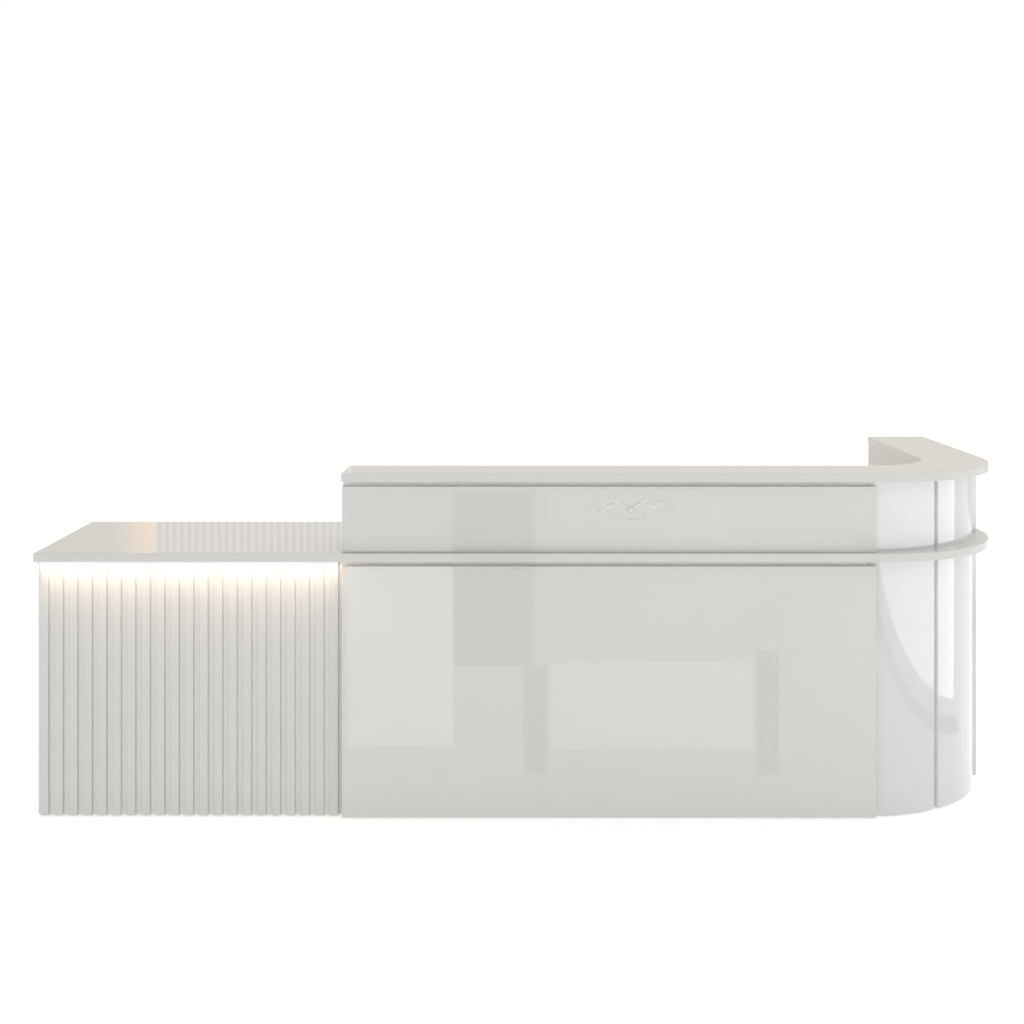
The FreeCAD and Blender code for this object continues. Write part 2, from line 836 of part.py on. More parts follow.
def build_drawers():
    fronts = {
        "upper": ("drawer_seam", "opening_top"),
        "lower": ("opening_bottom", "drawer_seam - front_gap"),
    }
    outers = []
    runner_y = ("box_back + slide_clear", "front_back")
    for name, (bottom, top) in fronts.items():
        front = box(
            ("pedestal_left + front_gap", "pedestal_right - front_gap"),
            ("front_back", "carcass_rear"),
            (bottom, top),
        )
        if name == "upper":
            front = cut(front, rod("lock_x", "front_back - 1", "lock_z", "lock_radius", "panel + 2", "y"))
        subpart(f"drawer_{name}_front", front)
        box_z = (f"{bottom} + box_lift", f"{top} - box_drop")
        box_x = ("pedestal_left + slide_gap", "pedestal_right - slide_gap")
        subpart(f"drawer_{name}_box", *drawer_box(box_x, ("box_back", "front_back"), box_z))
        middle = f"(({box_z[0]}) + ({box_z[1]})) / 2"
        walls = (("pedestal_left", 1), ("pedestal_right", -1))
        outers += [channel(*wall, *OUTER, middle, runner_y) for wall in walls]
        subpart(f"drawer_{name}_middles", *(channel(*wall, *BETWEEN, middle, runner_y) for wall in walls))
        subpart(f"drawer_{name}_runners", *(channel(*wall, *INNER, middle, runner_y) for wall in walls))
        subpart(f"drawer_{name}_pull", pull("lock_x", "carcass_rear", f"{top} - pull_edge", "x"))
    subpart("slide_outers", *outers)


def build_lock():
    """A barrel in the upper drawer's front, and a plug with a key slot and a cam that turns in it."""
    barrel = fuse(
        rod("lock_x", "lock_inner", "lock_z", "lock_radius", "lock_length", "y"),
        rod("lock_x", "carcass_rear", "lock_z", "lock_flange", "lock_rim", "y"),
    )
    bore = rod("lock_x", "lock_inner - 1", "lock_z", "plug_radius + running_gap", "lock_length + 4", "y")
    subpart("lock_barrel", cut(barrel, bore))
    plug_length = "lock_length + lock_rim + cam_sheet"
    plug = rod("lock_x", "lock_inner - cam_sheet", "lock_z", "plug_radius", plug_length, "y")
    cam = box(
        ("lock_x", "lock_x + cam_length"),
        ("lock_inner - cam_sheet", "lock_inner - knuckle_gap"),
        ("lock_z - cam_width / 2", "lock_z + cam_width / 2"),
    )
    slot = box(
        ("lock_x - plug_radius / 2", "lock_x + plug_radius / 2"),
        ("carcass_rear + lock_rim - plug_radius", "carcass_rear + lock_rim + 1"),
        ("lock_z - key_slot / 2", "lock_z + key_slot / 2"),
    )
    subpart("lock_plug", cut(fuse(plug, cam), slot))


def build_tray():
    """A keyboard tray that hangs under the worktop on a pair of two-member slides."""
    tray_y = ("carcass_rear - tray_stop - tray_depth", "carcass_rear - tray_stop")
    subpart("tray", box(("tray_left", "tray_right"), tray_y, ("tray_top - panel", "tray_top")))
    hangers = []
    runners = []
    for edge, side in (("tray_left", -1), ("tray_right", 1)):
        wall = f"{edge} + {side} * slide_gap"
        rail = channel(wall, -side, *OUTER, "tray_middle", tray_y)
        web = box(ordered(wall, -side, "0", "slide_sheet"), tray_y, ("tray_middle", "desk_under"))
        foot_x = ordered(wall, side, "-slide_sheet", "hanger_foot")
        foot = box(foot_x, tray_y, ("desk_under - slide_sheet", "desk_under"))
        hangers.append(fuse(rail, web, foot))
        runners.append(channel(wall, -side, *INNER, "tray_middle", tray_y))
    subpart("tray_hangers", *hangers)
    subpart("tray_runners", *runners)


# ---- light


def build_light():
    """A strip light under the worktop's front edge, along the slatted front, and its supply and switch."""
    length = ("left + light_end + light_cap", "low_seam - light_end - light_cap")
    width = ("light_y", "light_y + light_width")
    height = ("light_under", "desk_under")
    hollow = (f"{width[0]} + light_wall", f"{width[1]} - light_wall")
    profile = cut(
        box(length, width, height),
        box(("left", "low_seam"), hollow, ("light_under - 1", "desk_under - light_wall")),
    )
    subpart("light_profile", profile)
    ceiling = "desk_under - light_wall"
    subpart("light_board", box(length, hollow, (f"{ceiling} - light_board", ceiling)))
    subpart("light_diffuser", box(length, hollow, ("light_under", "light_under + light_wall")))
    subpart(
        "light_end_caps",
        box(("left + light_end", length[0]), width, height),
        box((length[1], "low_seam - light_end"), width, height),
    )
    driver_x = ("low_inside + driver_side", "low_inside + driver_side + driver_length")
    driver_z = ("rail_under - 2 * driver_height", "rail_under - driver_height")
    subpart("light_driver", box(driver_x, ("slat_back", "slat_back + driver_width"), driver_z))


def switch_body():
    """The part of the switch that is let into the partition."""
    return box(
        ("knee_left - switch_depth", "knee_left"),
        ("switch_y - switch_width / 2 + switch_rim", "switch_y + switch_width / 2 - switch_rim"),
        ("switch_z - switch_height / 2 + switch_rim", "switch_z + switch_height / 2 - switch_rim"),
    )


def build_switch():
    """A rocker that tips about a level axis in a flanged housing."""
    flange = box(
        ("knee_left", "knee_left + switch_rim"),
        ("switch_y - switch_width / 2", "switch_y + switch_width / 2"),
        ("switch_z - switch_height / 2", "switch_z + switch_height / 2"),
    )
    well_y = "switch_y - rocker_width / 2 - rocker_gap"
    well_width = "rocker_width + 2 * rocker_gap"
    well = rod("knee_left", well_y, "switch_z", "rocker_radius + rocker_gap", well_width, "y")
    subpart("switch_housing", cut(fuse(flange, switch_body()), well))
    wheel = rod("knee_left", "switch_y - rocker_width / 2", "switch_z", "rocker_radius", "rocker_width", "y")
    span_y = ("switch_y - rocker_width / 2", "switch_y + rocker_width / 2")
    block = box(
        ("knee_left - rocker_radius", "knee_left + 2 * switch_rim"),
        span_y,
        ("switch_z - rocker_radius", "switch_z + rocker_radius"),
    )
    subpart("switch_rocker", common(wheel, block))


# ---- build and write


build_worktop()
build_ledge()
build_grommet()
build_slatted_front()
build_face()
build_corner()
build_carcass()
build_boards()
build_hutch()
build_doors()
build_drawers()
build_lock()
build_tray()
build_light()
build_switch()
doc.recompute()

for thing in doc.Objects:
    if "Invalid" in thing.State or "Error" in thing.State:
        raise RuntimeError(f"{thing.Name} ({thing.Label}) did not build: {thing.State}")
for thing in subparts:
    if thing.Shape.isNull() or not thing.Shape.isValid() or thing.Shape.Volume <= 0:
        raise RuntimeError(f"{thing.Label} has no sound solid")

os.makedirs("parts", exist_ok=True)
for thing in subparts:
    thing.Shape.exportStep(f"parts/{thing.Label}.step")
print(f"{len(subparts)} sub-parts written")
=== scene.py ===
"""Checkout counter: finishes, small hardware, strip light and studio round the counter's frame.

Laid out as a Blender add-on. Sizes are in metres, in the frame's own axes: +X to the rounded corner,
+Y to the staff side, +Z up."""

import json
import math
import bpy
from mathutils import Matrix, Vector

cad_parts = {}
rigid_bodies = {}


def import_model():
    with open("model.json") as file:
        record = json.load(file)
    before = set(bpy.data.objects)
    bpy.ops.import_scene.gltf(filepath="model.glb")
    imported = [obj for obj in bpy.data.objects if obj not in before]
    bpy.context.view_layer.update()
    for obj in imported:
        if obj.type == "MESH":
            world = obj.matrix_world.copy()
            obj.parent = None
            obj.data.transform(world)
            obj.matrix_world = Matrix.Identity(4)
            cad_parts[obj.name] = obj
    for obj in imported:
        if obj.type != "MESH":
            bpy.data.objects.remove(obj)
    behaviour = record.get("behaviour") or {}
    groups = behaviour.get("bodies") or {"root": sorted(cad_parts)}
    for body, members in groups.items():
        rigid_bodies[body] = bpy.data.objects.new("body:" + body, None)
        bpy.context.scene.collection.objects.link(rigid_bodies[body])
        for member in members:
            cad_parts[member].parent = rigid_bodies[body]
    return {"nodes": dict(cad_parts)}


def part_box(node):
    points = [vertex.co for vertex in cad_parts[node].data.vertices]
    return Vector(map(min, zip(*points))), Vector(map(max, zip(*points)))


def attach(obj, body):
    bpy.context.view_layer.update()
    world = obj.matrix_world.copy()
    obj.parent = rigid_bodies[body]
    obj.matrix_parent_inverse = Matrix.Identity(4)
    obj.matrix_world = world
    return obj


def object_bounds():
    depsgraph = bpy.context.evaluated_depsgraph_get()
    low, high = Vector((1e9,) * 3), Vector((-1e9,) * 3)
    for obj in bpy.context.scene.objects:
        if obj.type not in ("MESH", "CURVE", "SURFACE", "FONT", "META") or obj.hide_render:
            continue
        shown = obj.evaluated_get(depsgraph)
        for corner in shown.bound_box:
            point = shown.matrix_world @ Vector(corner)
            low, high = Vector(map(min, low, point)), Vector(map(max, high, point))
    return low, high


bl_info = {
    "name": "Checkout Counter",
    "version": (1, 0, 0),
    "blender": (4, 5, 0),
    "location": "View3D > Sidebar > Counter",
    "description": "Finishes and dresses a lacquered checkout counter",
    "category": "Object",
}

import bmesh
import bpy
from mathutils import Matrix, Vector

for thing in list(bpy.data.objects):
    bpy.data.objects.remove(thing)
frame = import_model()
NODES = frame["nodes"]
CAD_BOX = [list(corner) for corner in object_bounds()]

# the slats of the milled front
SLAT_MARGIN = 0.0085
SLAT_WIDTH = 0.0235
SLAT_PITCH = 0.042
SLAT_FACE_Y = -0.5120
GROOVE_FLOOR_Y = -0.5045
MILLED_SIDE_Y = -0.5

# boards, hinges, slides, shelf holes and cover caps
BOARD = 0.018
LEAF_METAL = 0.0012
HEAD_RISE = 0.42
SCREW_INSET = 0.0075
SCREW_STEP = 0.021
LEAF_MIDDLE = 0.030
BALL_SHARE = 0.7
BALL_INSET = 0.0045
BALL_LIFT = 0.0009
HOLE_COLUMNS = (0.060, 0.427)
WING_HOLE_COLUMNS = (0.090, 0.060)
RAIL_MIDDLE = 0.009
CAP_RISE = 0.0011

# the studio: what the lacquer mirrors, the lamps and the camera
FRONT_CARD_Y = -0.9
FRONT_CARDS = (
    ("left_card", (-0.565, -0.236), (0.10, 0.72), 0.52),
    ("middle_card", (0.070, 0.702), (0.088, 0.363), 0.34),
    ("upper_card", (0.065, 0.62), (0.76, 0.90), 0.10),
)
FRONT_FLAGS = (
    ("left_flag", (-0.236, 0.02), (0.352, 0.895)),
    ("left_post_flag", (-0.015, 0.058), (0.012, 0.352)),
    ("right_post_flag", (0.712, 0.785), (0.012, 0.40)),
)
FRONT_FLAG_TONE = 0.5
CORNER_CARD_PLACE = (2.2, -2.82, 1.43)
CORNER_CARD_SIZE = (5.4, 2.5)
CORNER_CARD_LEAN = -2.5
FLOOR_FLAG = ((1.97, 2.2), (-5.6, -0.1), 0.003)
FLOOR_FLAG_TONE = 0.6
KEY_PLACE = (2.9, -2.6, 2.9)
KEY_TARGET = (1.15, -0.2, 0.6)
KEY_WIDTH = 1.8
WALL_Y = 2.6
WALL_HALF = 4.5
WALL_HEIGHTS = (0.3, 2.6)
WALL_SLATS_X = (-1.835, -0.85)
WALL_SLAT = 0.0185
FLOOR_HALF = 30
SKY_SIDES = (-0.35, 0.55)
SKY_HAZE = 0.28
CAMERA_X = -0.0298
CAMERA_ROLL = 0.002
LENS = 52.99
SHIFT = (-0.0038, -0.2162)

UP = Vector((0, 0, 1))
STAFF = Vector((0, 1, 0))

TOPS = ("worktop", "ledge")
FLATS = ("front_panel_lower", "front_panel_upper")
SKINS = ("bent_panels_lower", "bent_panels_upper")
SIDES = ("side_panel_lower", "side_panel_upper")
BOARDS = (
    "low_sides",
    "main_uprights",
    "wing_uprights",
    "bottom_boards",
    "top_rails",
    "kick_boards",
    "shelves",
    "hutch_dividers",
    "corner_formers",
    "door_left",
    "door_right",
    "drawer_lower_front",
    "tray",
)
DRAWER_BOXES = ("drawer_upper_box", "drawer_lower_box")
ZINC = (
    "hinge_leaves_fixed",
    "hinge_leaves_left",
    "hinge_leaves_right",
    "hinge_pins",
    "slide_outers",
    "drawer_upper_middles",
    "drawer_upper_runners",
    "drawer_lower_middles",
    "drawer_lower_runners",
    "tray_hangers",
    "tray_runners",
    "joint_bolts",
    "shelf_pins",
)
PULLS = ("pull_left", "pull_right", "drawer_upper_pull", "drawer_lower_pull")


# ---- what a user would change


class CounterFinishes(bpy.types.PropertyGroup):
    lacquer: bpy.props.FloatVectorProperty(
        name="Lacquer",
        description="Colour of the gloss lacquer",
        subtype="COLOR",
        size=3,
        default=(0.640, 0.632, 0.607),
    )
    # Painted light: the bent corner has the flats' lacquer; this lighter copy stands in for the brighter
    # light that falls on it, and the side panels get a copy 1.1 times as light.
    skin: bpy.props.FloatVectorProperty(
        name="Bent skin",
        description="Colour of the whiter lacquer on the bent corner",
        subtype="COLOR",
        size=3,
        default=(0.660, 0.660, 0.658),
    )
    slats: bpy.props.FloatVectorProperty(
        name="Slats",
        description="Colour of the satin film on the slats",
        subtype="COLOR",
        size=3,
        default=(0.640, 0.634, 0.620),
    )
    # Painted shade: the wall inside the wing has the same lacquer; this darker, warmer copy stands in for
    # the shade there and the warm room it mirrors.
    hutch: bpy.props.FloatVectorProperty(
        name="Hutch wall",
        description="Colour of the warmer lacquer inside the wing",
        subtype="COLOR",
        size=3,
        default=(0.62, 0.59, 0.56),
    )
    # Painted light: the backing has the same lacquer; this much lighter copy lifts the shade inside the
    # gaps.
    backing: bpy.props.FloatVectorProperty(
        name="Backing",
        description="Colour of the bright strip that shows in the shadow gaps",
        subtype="COLOR",
        size=3,
        default=(0.90, 0.89, 0.86),
    )
    board: bpy.props.FloatVectorProperty(
        name="Board",
        description="Colour of the melamine faced boards",
        subtype="COLOR",
        size=3,
        default=(0.70, 0.69, 0.67),
    )
    gloss: bpy.props.FloatProperty(
        name="Gloss roughness",
        description="Roughness of the clean lacquer",
        default=0.06,
        min=0.0,
        max=1.0,
        subtype="FACTOR",
    )
    edge: bpy.props.FloatProperty(
        name="Edge radius",
        description="Small radius on the edges of boards and metal parts",
        default=0.0006,
        unit="LENGTH",
    )


class CounterFittings(bpy.types.PropertyGroup):
    screw_radius: bpy.props.FloatProperty(
        name="Screw head radius",
        description="Radius of the hinge screws",
        default=0.0034,
        unit="LENGTH",
    )
    ball_radius: bpy.props.FloatProperty(
        name="Ball radius",
        description="Radius of the balls in the slides",
        default=0.00085,
        unit="LENGTH",
    )
    ball_pitch: bpy.props.FloatProperty(
        name="Ball pitch", description="Distance between two balls", default=0.014, unit="LENGTH"
    )
    hole_radius: bpy.props.FloatProperty(
        name="Shelf hole radius",
        description="Radius of the shelf pin holes",
        default=0.0025,
        unit="LENGTH",
    )
    hole_pitch: bpy.props.FloatProperty(
        name="Shelf hole pitch",
        description="Distance between two shelf pin holes",
        default=0.032,
        unit="LENGTH",
    )
    cap_radius: bpy.props.FloatProperty(
        name="Cover cap radius",
        description="Radius of the caps over the screws",
        default=0.006,
        unit="LENGTH",
    )
    ornament_width: bpy.props.FloatProperty(
        name="Ornament width",
        description="Width of the relief on the upper panel",
        default=0.236,
        unit="LENGTH",
    )


class CounterLight(bpy.types.PropertyGroup):
    colour: bpy.props.FloatVectorProperty(
        name="Colour",
        description="Colour of the strip light",
        subtype="COLOR",
        size=3,
        default=(1.0, 0.77, 0.54),
    )
    power: bpy.props.FloatProperty(
        name="Power", description="Power of the strip light", default=0.29, min=0.0, unit="POWER"
    )
    spill: bpy.props.FloatProperty(
        name="Spill",
        description="Power of the light that spreads down the slats",
        default=0.27,
        min=0.0,
        unit="POWER",
    )
    glow: bpy.props.FloatProperty(
        name="Glow", description="Brightness of the opal cover", default=6.0, min=0.0
    )
    diode_pitch: bpy.props.FloatProperty(
        name="Diode pitch", description="Distance between two diodes", default=0.0166, unit="LENGTH"
    )


class CounterStudio(bpy.types.PropertyGroup):
    surround: bpy.props.FloatProperty(
        name="Surround",
        description="Brightness of the room on the customers' side",
        default=0.68,
        min=0.0,
    )
    backdrop: bpy.props.FloatProperty(
        name="Backdrop",
        description="Brightness of the room behind the counter",
        default=1.02,
        min=0.0,
    )
    key: bpy.props.FloatProperty(
        name="Key light",
        description="Power of the soft light on the right",
        default=14.0,
        min=0.0,
        unit="POWER",
    )
    card: bpy.props.FloatProperty(
        name="Cards",
        description="Brightness of the cards that the lacquer mirrors",
        default=1.70,
        min=0.0,
    )
    floor: bpy.props.FloatVectorProperty(
        name="Floor",
        description="Colour of the floor",
        subtype="COLOR",
        size=3,
        default=(0.93, 0.93, 0.93),
    )
    distance: bpy.props.FloatProperty(
        name="Camera distance",
        description="From the camera to the worktop's front",
        default=4.3253,
        unit="LENGTH",
    )
    height: bpy.props.FloatProperty(
        name="Camera height", description="Height of the camera", default=1.5248, unit="LENGTH"
    )


# ---- shader maths


class Channel:
    """A shader socket that Python's operators do maths on."""

    def __init__(self, finish, socket):
        self.finish = finish
        self.socket = socket

    def maths(self, operation, *values):
        return self.finish.node("ShaderNodeMath", {"operation": operation}, dict(enumerate(values)))

    def __add__(self, other):
        return self.maths("ADD", self, other)

    def __sub__(self, other):
        return self.maths("SUBTRACT", self, other)

    def __rsub__(self, other):
        return self.maths("SUBTRACT", other, self)

    def __mul__(self, other):
        return self.maths("MULTIPLY", self, other)

    def __truediv__(self, other):
        return self.maths("DIVIDE", self, other)

    def __gt__(self, other):
        return self.maths("GREATER_THAN", self, other)

    def __lt__(self, other):
        return self.maths("LESS_THAN", self, other)

    __radd__ = __add__
    __rmul__ = __mul__

    def larger(self, other):
        return self.maths("MAXIMUM", self, other)

    def pingpong(self, half):
        """Rises from 0 to a length, falls back and starts again."""
        return self.maths("PINGPONG", self, half)

    def ramp(self, low, high):
        """0 below low, 1 above high, and smooth between them."""
        settings = {"interpolation_type": "SMOOTHSTEP"}
        return self.finish.node("ShaderNodeMapRange", settings, {0: self, 1: low, 2: high})


class Finish:
    """A material built round one Principled shader."""

    def __init__(self, name, **constants):
        self.material = bpy.data.materials.new(name)
        self.start(self.material, "Principled BSDF", "Object")
        self.set(**constants)

    def start(self, owner, shader, coordinates):
        owner.use_nodes = True
        self.tree = owner.node_tree
        self.shader = self.tree.nodes[shader]
        self.position = self.node("ShaderNodeTexCoord", output=coordinates)

    def node(self, kind, settings=None, inputs=None, output=0):
        """Adds a node: its settings first, then the values or links of its sockets."""
        made = self.tree.nodes.new(kind)
        for name, value in (settings or {}).items():
            setattr(made, name, value)
        for key, value in (inputs or {}).items():
            self.feed(made.inputs[key], value)
        return Channel(self, made.outputs[output])

    def feed(self, socket, value):
        if isinstance(value, Channel):
            self.tree.links.new(value.socket, socket)
        else:
            socket.default_value = value

    def set(self, **inputs):
        """Sets the shader's sockets: base_color stands for Base Color."""
        for name, value in inputs.items():
            self.feed(self.shader.inputs[name.replace("_", " ").title().replace("Ior", "IOR")], value)

    def axes(self, vector=None):
        """X, Y and Z of a vector, the position unless another is given."""
        first = self.node("ShaderNodeSeparateXYZ", {}, {0: vector or self.position})
        return [Channel(self, socket) for socket in first.socket.node.outputs]

    def normal(self):
        return self.axes(self.node("ShaderNodeTexCoord", output="Normal"))

    def stretched(self, x, y, z):
        """The position, scaled along each axis."""
        inputs = {0: self.position, 1: (x, y, z)}
        return self.node("ShaderNodeVectorMath", {"operation": "MULTIPLY"}, inputs)

    def noise(self, scale, detail=2.0, rough=0.5, vector=None):
        inputs = {"Vector": vector or self.position, "Scale": scale, "Detail": detail, "Roughness": rough}
        return self.node("ShaderNodeTexNoise", {}, inputs)

    def cells(self, scale, feature="F1", vector=None):
        inputs = {"Vector": vector or self.position, "Scale": scale}
        return self.node("ShaderNodeTexVoronoi", {"feature": feature}, inputs)

    def mix(self, share, first, second):
        """A colour between two colours."""
        settings = {"data_type": "RGBA", "clamp_factor": True}
        return self.node("ShaderNodeMix", settings, {0: share, 6: first, 7: second}, output=2)

    def bump(self, height, strength, distance, under=None):
        inputs = {"Height": height, "Strength": strength, "Distance": distance}
        if under:
            inputs["Normal"] = under
        return self.node("ShaderNodeBump", {}, inputs)


class Sky(Finish):
    """The light of the room, built round one Background shader."""

    def __init__(self, name, **constants):
        self.world = bpy.data.worlds.new(name)
        self.start(self.world, "Background", "Generated")
        self.set(**constants)


def rgba(colour, share=1.0):
    """A colour with full alpha, darkened or lightened by a share."""
    return (*(min(channel * share, 1.0) for channel in colour[:3]), 1.0)


def gloss_lacquer(name, colour, gloss, coat=0.6):
    """Sprayed and polished lacquer: faint orange peel, wiping marks and a little dust near the floor."""
    finish = Finish(name, coat_weight=coat, coat_roughness=0.03, ior=1.5)
    height = finish.axes()[2]
    cloud = finish.noise(2.3, 4.0, 0.55)
    wiped = finish.noise(1.0, 5.0, 0.6, finish.stretched(9.0, 9.0, 26.0))
    dust = finish.noise(420.0, 2.0, 0.7).ramp(0.62, 0.74)
    low = 1 - height.ramp(0.01, 0.12)
    tone = finish.mix(cloud.ramp(0.35, 0.7) * 0.5, rgba(colour, 1.01), rgba(colour, 0.975))
    tone = finish.mix(low * 0.10 + low * dust * 0.12, tone, rgba((0.50, 0.47, 0.43)))
    rough = gloss + cloud.ramp(0.45, 0.75) * 0.03 + wiped.ramp(0.5, 0.78) * 0.035 + low * 0.06
    peel = finish.noise(240.0, 1.0, 0.4)
    wave = finish.noise(7.0, 1.0, 0.3)
    under = finish.bump(wave, 0.10, 0.0012)
    finish.set(base_color=tone, roughness=rough, normal=finish.bump(peel, 0.05, 0.0002, under))
    return finish.material


def satin_slats(name, colour):
    """Sprayed slats: a satin film, softer in the milled grooves, with faint tool marks down them. The
    groove floors are painted lighter to lift their shade, and a painted shade line runs beside each
    slat's edge, fading out near the strip light.
    """
    finish = Finish(name, coat_weight=0.08, coat_roughness=0.18, ior=1.48)
    across, depth, height = finish.axes()
    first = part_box("slatted_front")[0].x + SLAT_MARGIN + SLAT_WIDTH / 2
    milled = depth < MILLED_SIDE_Y
    groove = depth.ramp(SLAT_FACE_Y, GROOVE_FLOOR_Y) * milled
    off = (across - first).pingpong(SLAT_PITCH / 2)
    # beside, corner and lit mask the painted shade lines along the slats' edges and fade them where the
    # strip light falls.
    beside = 1 - off.ramp(SLAT_WIDTH / 2 + 0.0005, SLAT_WIDTH / 2 + 0.0035)
    corner = beside * depth.ramp(SLAT_FACE_Y - 0.0005, SLAT_FACE_Y + 0.0025) * milled
    lit = height.ramp(0.655, 0.745)
    cloud = finish.noise(3.1, 4.0, 0.55)
    marks = finish.noise(1.0, 3.0, 0.6, finish.stretched(900.0, 900.0, 6.0))
    low = 1 - height.ramp(0.01, 0.10)
    tone = finish.mix(cloud.ramp(0.3, 0.7) * 0.6, rgba(colour, 1.0), rgba(colour, 0.975))
    # Painted light: the groove floors are lightened 1.25 times to lift the shade that falls in them.
    tone = finish.mix(groove, tone, rgba(colour, 1.25))
    # Painted shade: a dark line beside each slat's edge, faded out where the strip light falls (lit).
    tone = finish.mix(corner * (0.42 - lit * 0.40), tone, rgba(colour, 0.6))
    tone = finish.mix(low * 0.10, tone, rgba((0.52, 0.48, 0.43)))
    rough = 0.30 + groove * 0.16 + marks.ramp(0.4, 0.7) * 0.05
    under = finish.bump(marks, 0.12, 0.0002)
    spray = finish.bump(finish.noise(320.0), 0.06, 0.0002, under)
    finish.set(base_color=tone, roughness=rough, normal=spray)
    return finish.material


def melamine_board(name, colour):
    """Pearl grained melamine, with smoother edge bands on the faces towards the staff."""
    finish = Finish(name, ior=1.5)
    band = finish.normal()[1] > 0.9
    pores = finish.cells(1500.0)
    pearl = finish.noise(900.0, 3.0, 0.6)
    cloud = finish.noise(2.0, 4.0, 0.55)
    scuffs = finish.noise(1.0, 6.0, 0.7, finish.stretched(30.0, 14.0, 50.0)).ramp(0.66, 0.72)
    tone = finish.mix(pearl.ramp(0.3, 0.7) * 0.5, rgba(colour, 1.0), rgba(colour, 0.965))
    tone = finish.mix(cloud.ramp(0.4, 0.7) * 0.4, tone, rgba(colour, 0.97))
    tone = finish.mix(band * 0.6, tone, rgba(colour, 1.04))
    rough = 0.42 - band * 0.14 + scuffs * 0.12 + pearl * 0.08
    grain = pores * (1 - band)
    finish.set(base_color=tone, roughness=rough, normal=finish.bump(grain, 0.16, 0.00012))
    return finish.material


def zinc_plate(name):
    """Bright zinc on rolled steel: cool, with faint crystals, handling smears and fine rolling lines."""
    finish = Finish(name, metallic=1.0)
    crystals = finish.cells(190.0)
    lines = finish.noise(1.0, 4.0, 0.6, finish.stretched(900.0, 40.0, 900.0))
    smear = finish.noise(38.0, 4.0, 0.6)
    tone = finish.mix(crystals.ramp(0.1, 0.8), (0.60, 0.61, 0.63, 1.0), (0.49, 0.50, 0.53, 1.0))
    tone = finish.mix(smear.ramp(0.55, 0.8) * 0.5, tone, (0.42, 0.41, 0.39, 1.0))
    rough = 0.26 + lines.ramp(0.3, 0.7) * 0.12 + smear.ramp(0.5, 0.8) * 0.15
    finish.set(base_color=tone, roughness=rough, normal=finish.bump(lines, 0.10, 0.00008))
    return finish.material


def anodised(name, colour, along, relief=0.08):
    """Satin anodised aluminium, brushed along one axis."""
    finish = Finish(name, metallic=1.0)
    scale = [1400.0, 1400.0, 1400.0]
    scale[along] = 14.0
    hair = finish.noise(1.0, 3.0, 0.65, finish.stretched(*scale))
    cloud = finish.noise(16.0, 3.0, 0.5)
    tone = finish.mix(hair.ramp(0.3, 0.7), rgba(colour, 1.03), rgba(colour, 0.9))
    rough = 0.24 + hair.ramp(0.25, 0.75) * 0.12 + cloud * 0.06
    finish.set(base_color=tone, roughness=rough, normal=finish.bump(hair, relief, 0.00006))
    return finish.material


def polished_chrome(name):
    """Bright chrome with hairline scratches round the keyway."""
    finish = Finish(name, metallic=1.0)
    scratches = finish.noise(1.0, 6.0, 0.8, finish.stretched(500.0, 60.0, 1700.0)).ramp(0.6, 0.68)
    haze = finish.noise(90.0, 3.0, 0.6)
    tone = finish.mix(haze.ramp(0.4, 0.8) * 0.3, (0.76, 0.77, 0.78, 1.0), (0.62, 0.62, 0.62, 1.0))
    finish.set(base_color=tone, roughness=0.07 + haze * 0.05 + scratches * 0.18)
    return finish.material


def moulded(name, colour, rough, sheen=0.0):
    """Moulded plastic with a spark-eroded grain and paler rubbed patches."""
    finish = Finish(name, ior=1.49, coat_weight=sheen, coat_roughness=0.1)
    grain = finish.noise(1600.0, 3.0, 0.65)
    flow = finish.noise(22.0, 3.0, 0.5)
    rubbed = flow.ramp(0.55, 0.8)
    tone = finish.mix(rubbed * 0.35, rgba(colour), rgba([0.06 + channel * 0.94 for channel in colour]))
    finish.set(
        base_color=tone,
        roughness=rough + grain.ramp(0.3, 0.7) * 0.08 - rubbed * 0.05,
        normal=finish.bump(grain, 0.18, 0.00006),
    )
    return finish.material


def opal_cover(name, light):
    """A lit opal strip: a little brighter under each diode."""
    finish = Finish(name, roughness=0.35, emission_strength=light.glow)
    along = finish.axes()[0]
    near = 1 - along.pingpong(light.diode_pitch / 2).ramp(0.0, light.diode_pitch / 2)
    warm = rgba([0.55 + channel * 0.45 for channel in light.colour])
    finish.set(
        base_color=finish.mix(finish.noise(60.0) * 0.3, (0.90, 0.88, 0.83, 1.0), (0.84, 0.82, 0.78, 1.0)),
        emission_color=finish.mix(near, rgba(light.colour), warm),
    )
    return finish.material


def solder_mask(name, pitch):
    """A white circuit strip with a copper pad line at each cut mark."""
    finish = Finish(name, roughness=0.28, ior=1.5)
    along = finish.axes()[0]
    pad = along.pingpong(pitch * 1.5) < 0.0012
    tone = finish.mix(finish.noise(300.0) * 0.4, (0.86, 0.86, 0.83, 1.0), (0.78, 0.78, 0.75, 1.0))
    finish.set(base_color=finish.mix(pad, tone, (0.72, 0.42, 0.22, 1.0)), metallic=pad * 0.9)
    return finish.material


def bare(name, colour, rough):
    """The dark inside of a drilled hole or a screw's recess: painted shade standing in for its depth,
    with the brown of raw fibreboard in the shelf holes.
    """
    finish = Finish(name, ior=1.45)
    fibre = finish.noise(2400.0, 3.0, 0.7)
    tone = finish.mix(fibre.ramp(0.3, 0.7), rgba(colour, 1.1), rgba(colour, 0.75))
    finish.set(base_color=tone, roughness=rough + fibre * 0.1)
    return finish.material


# ---- meshes


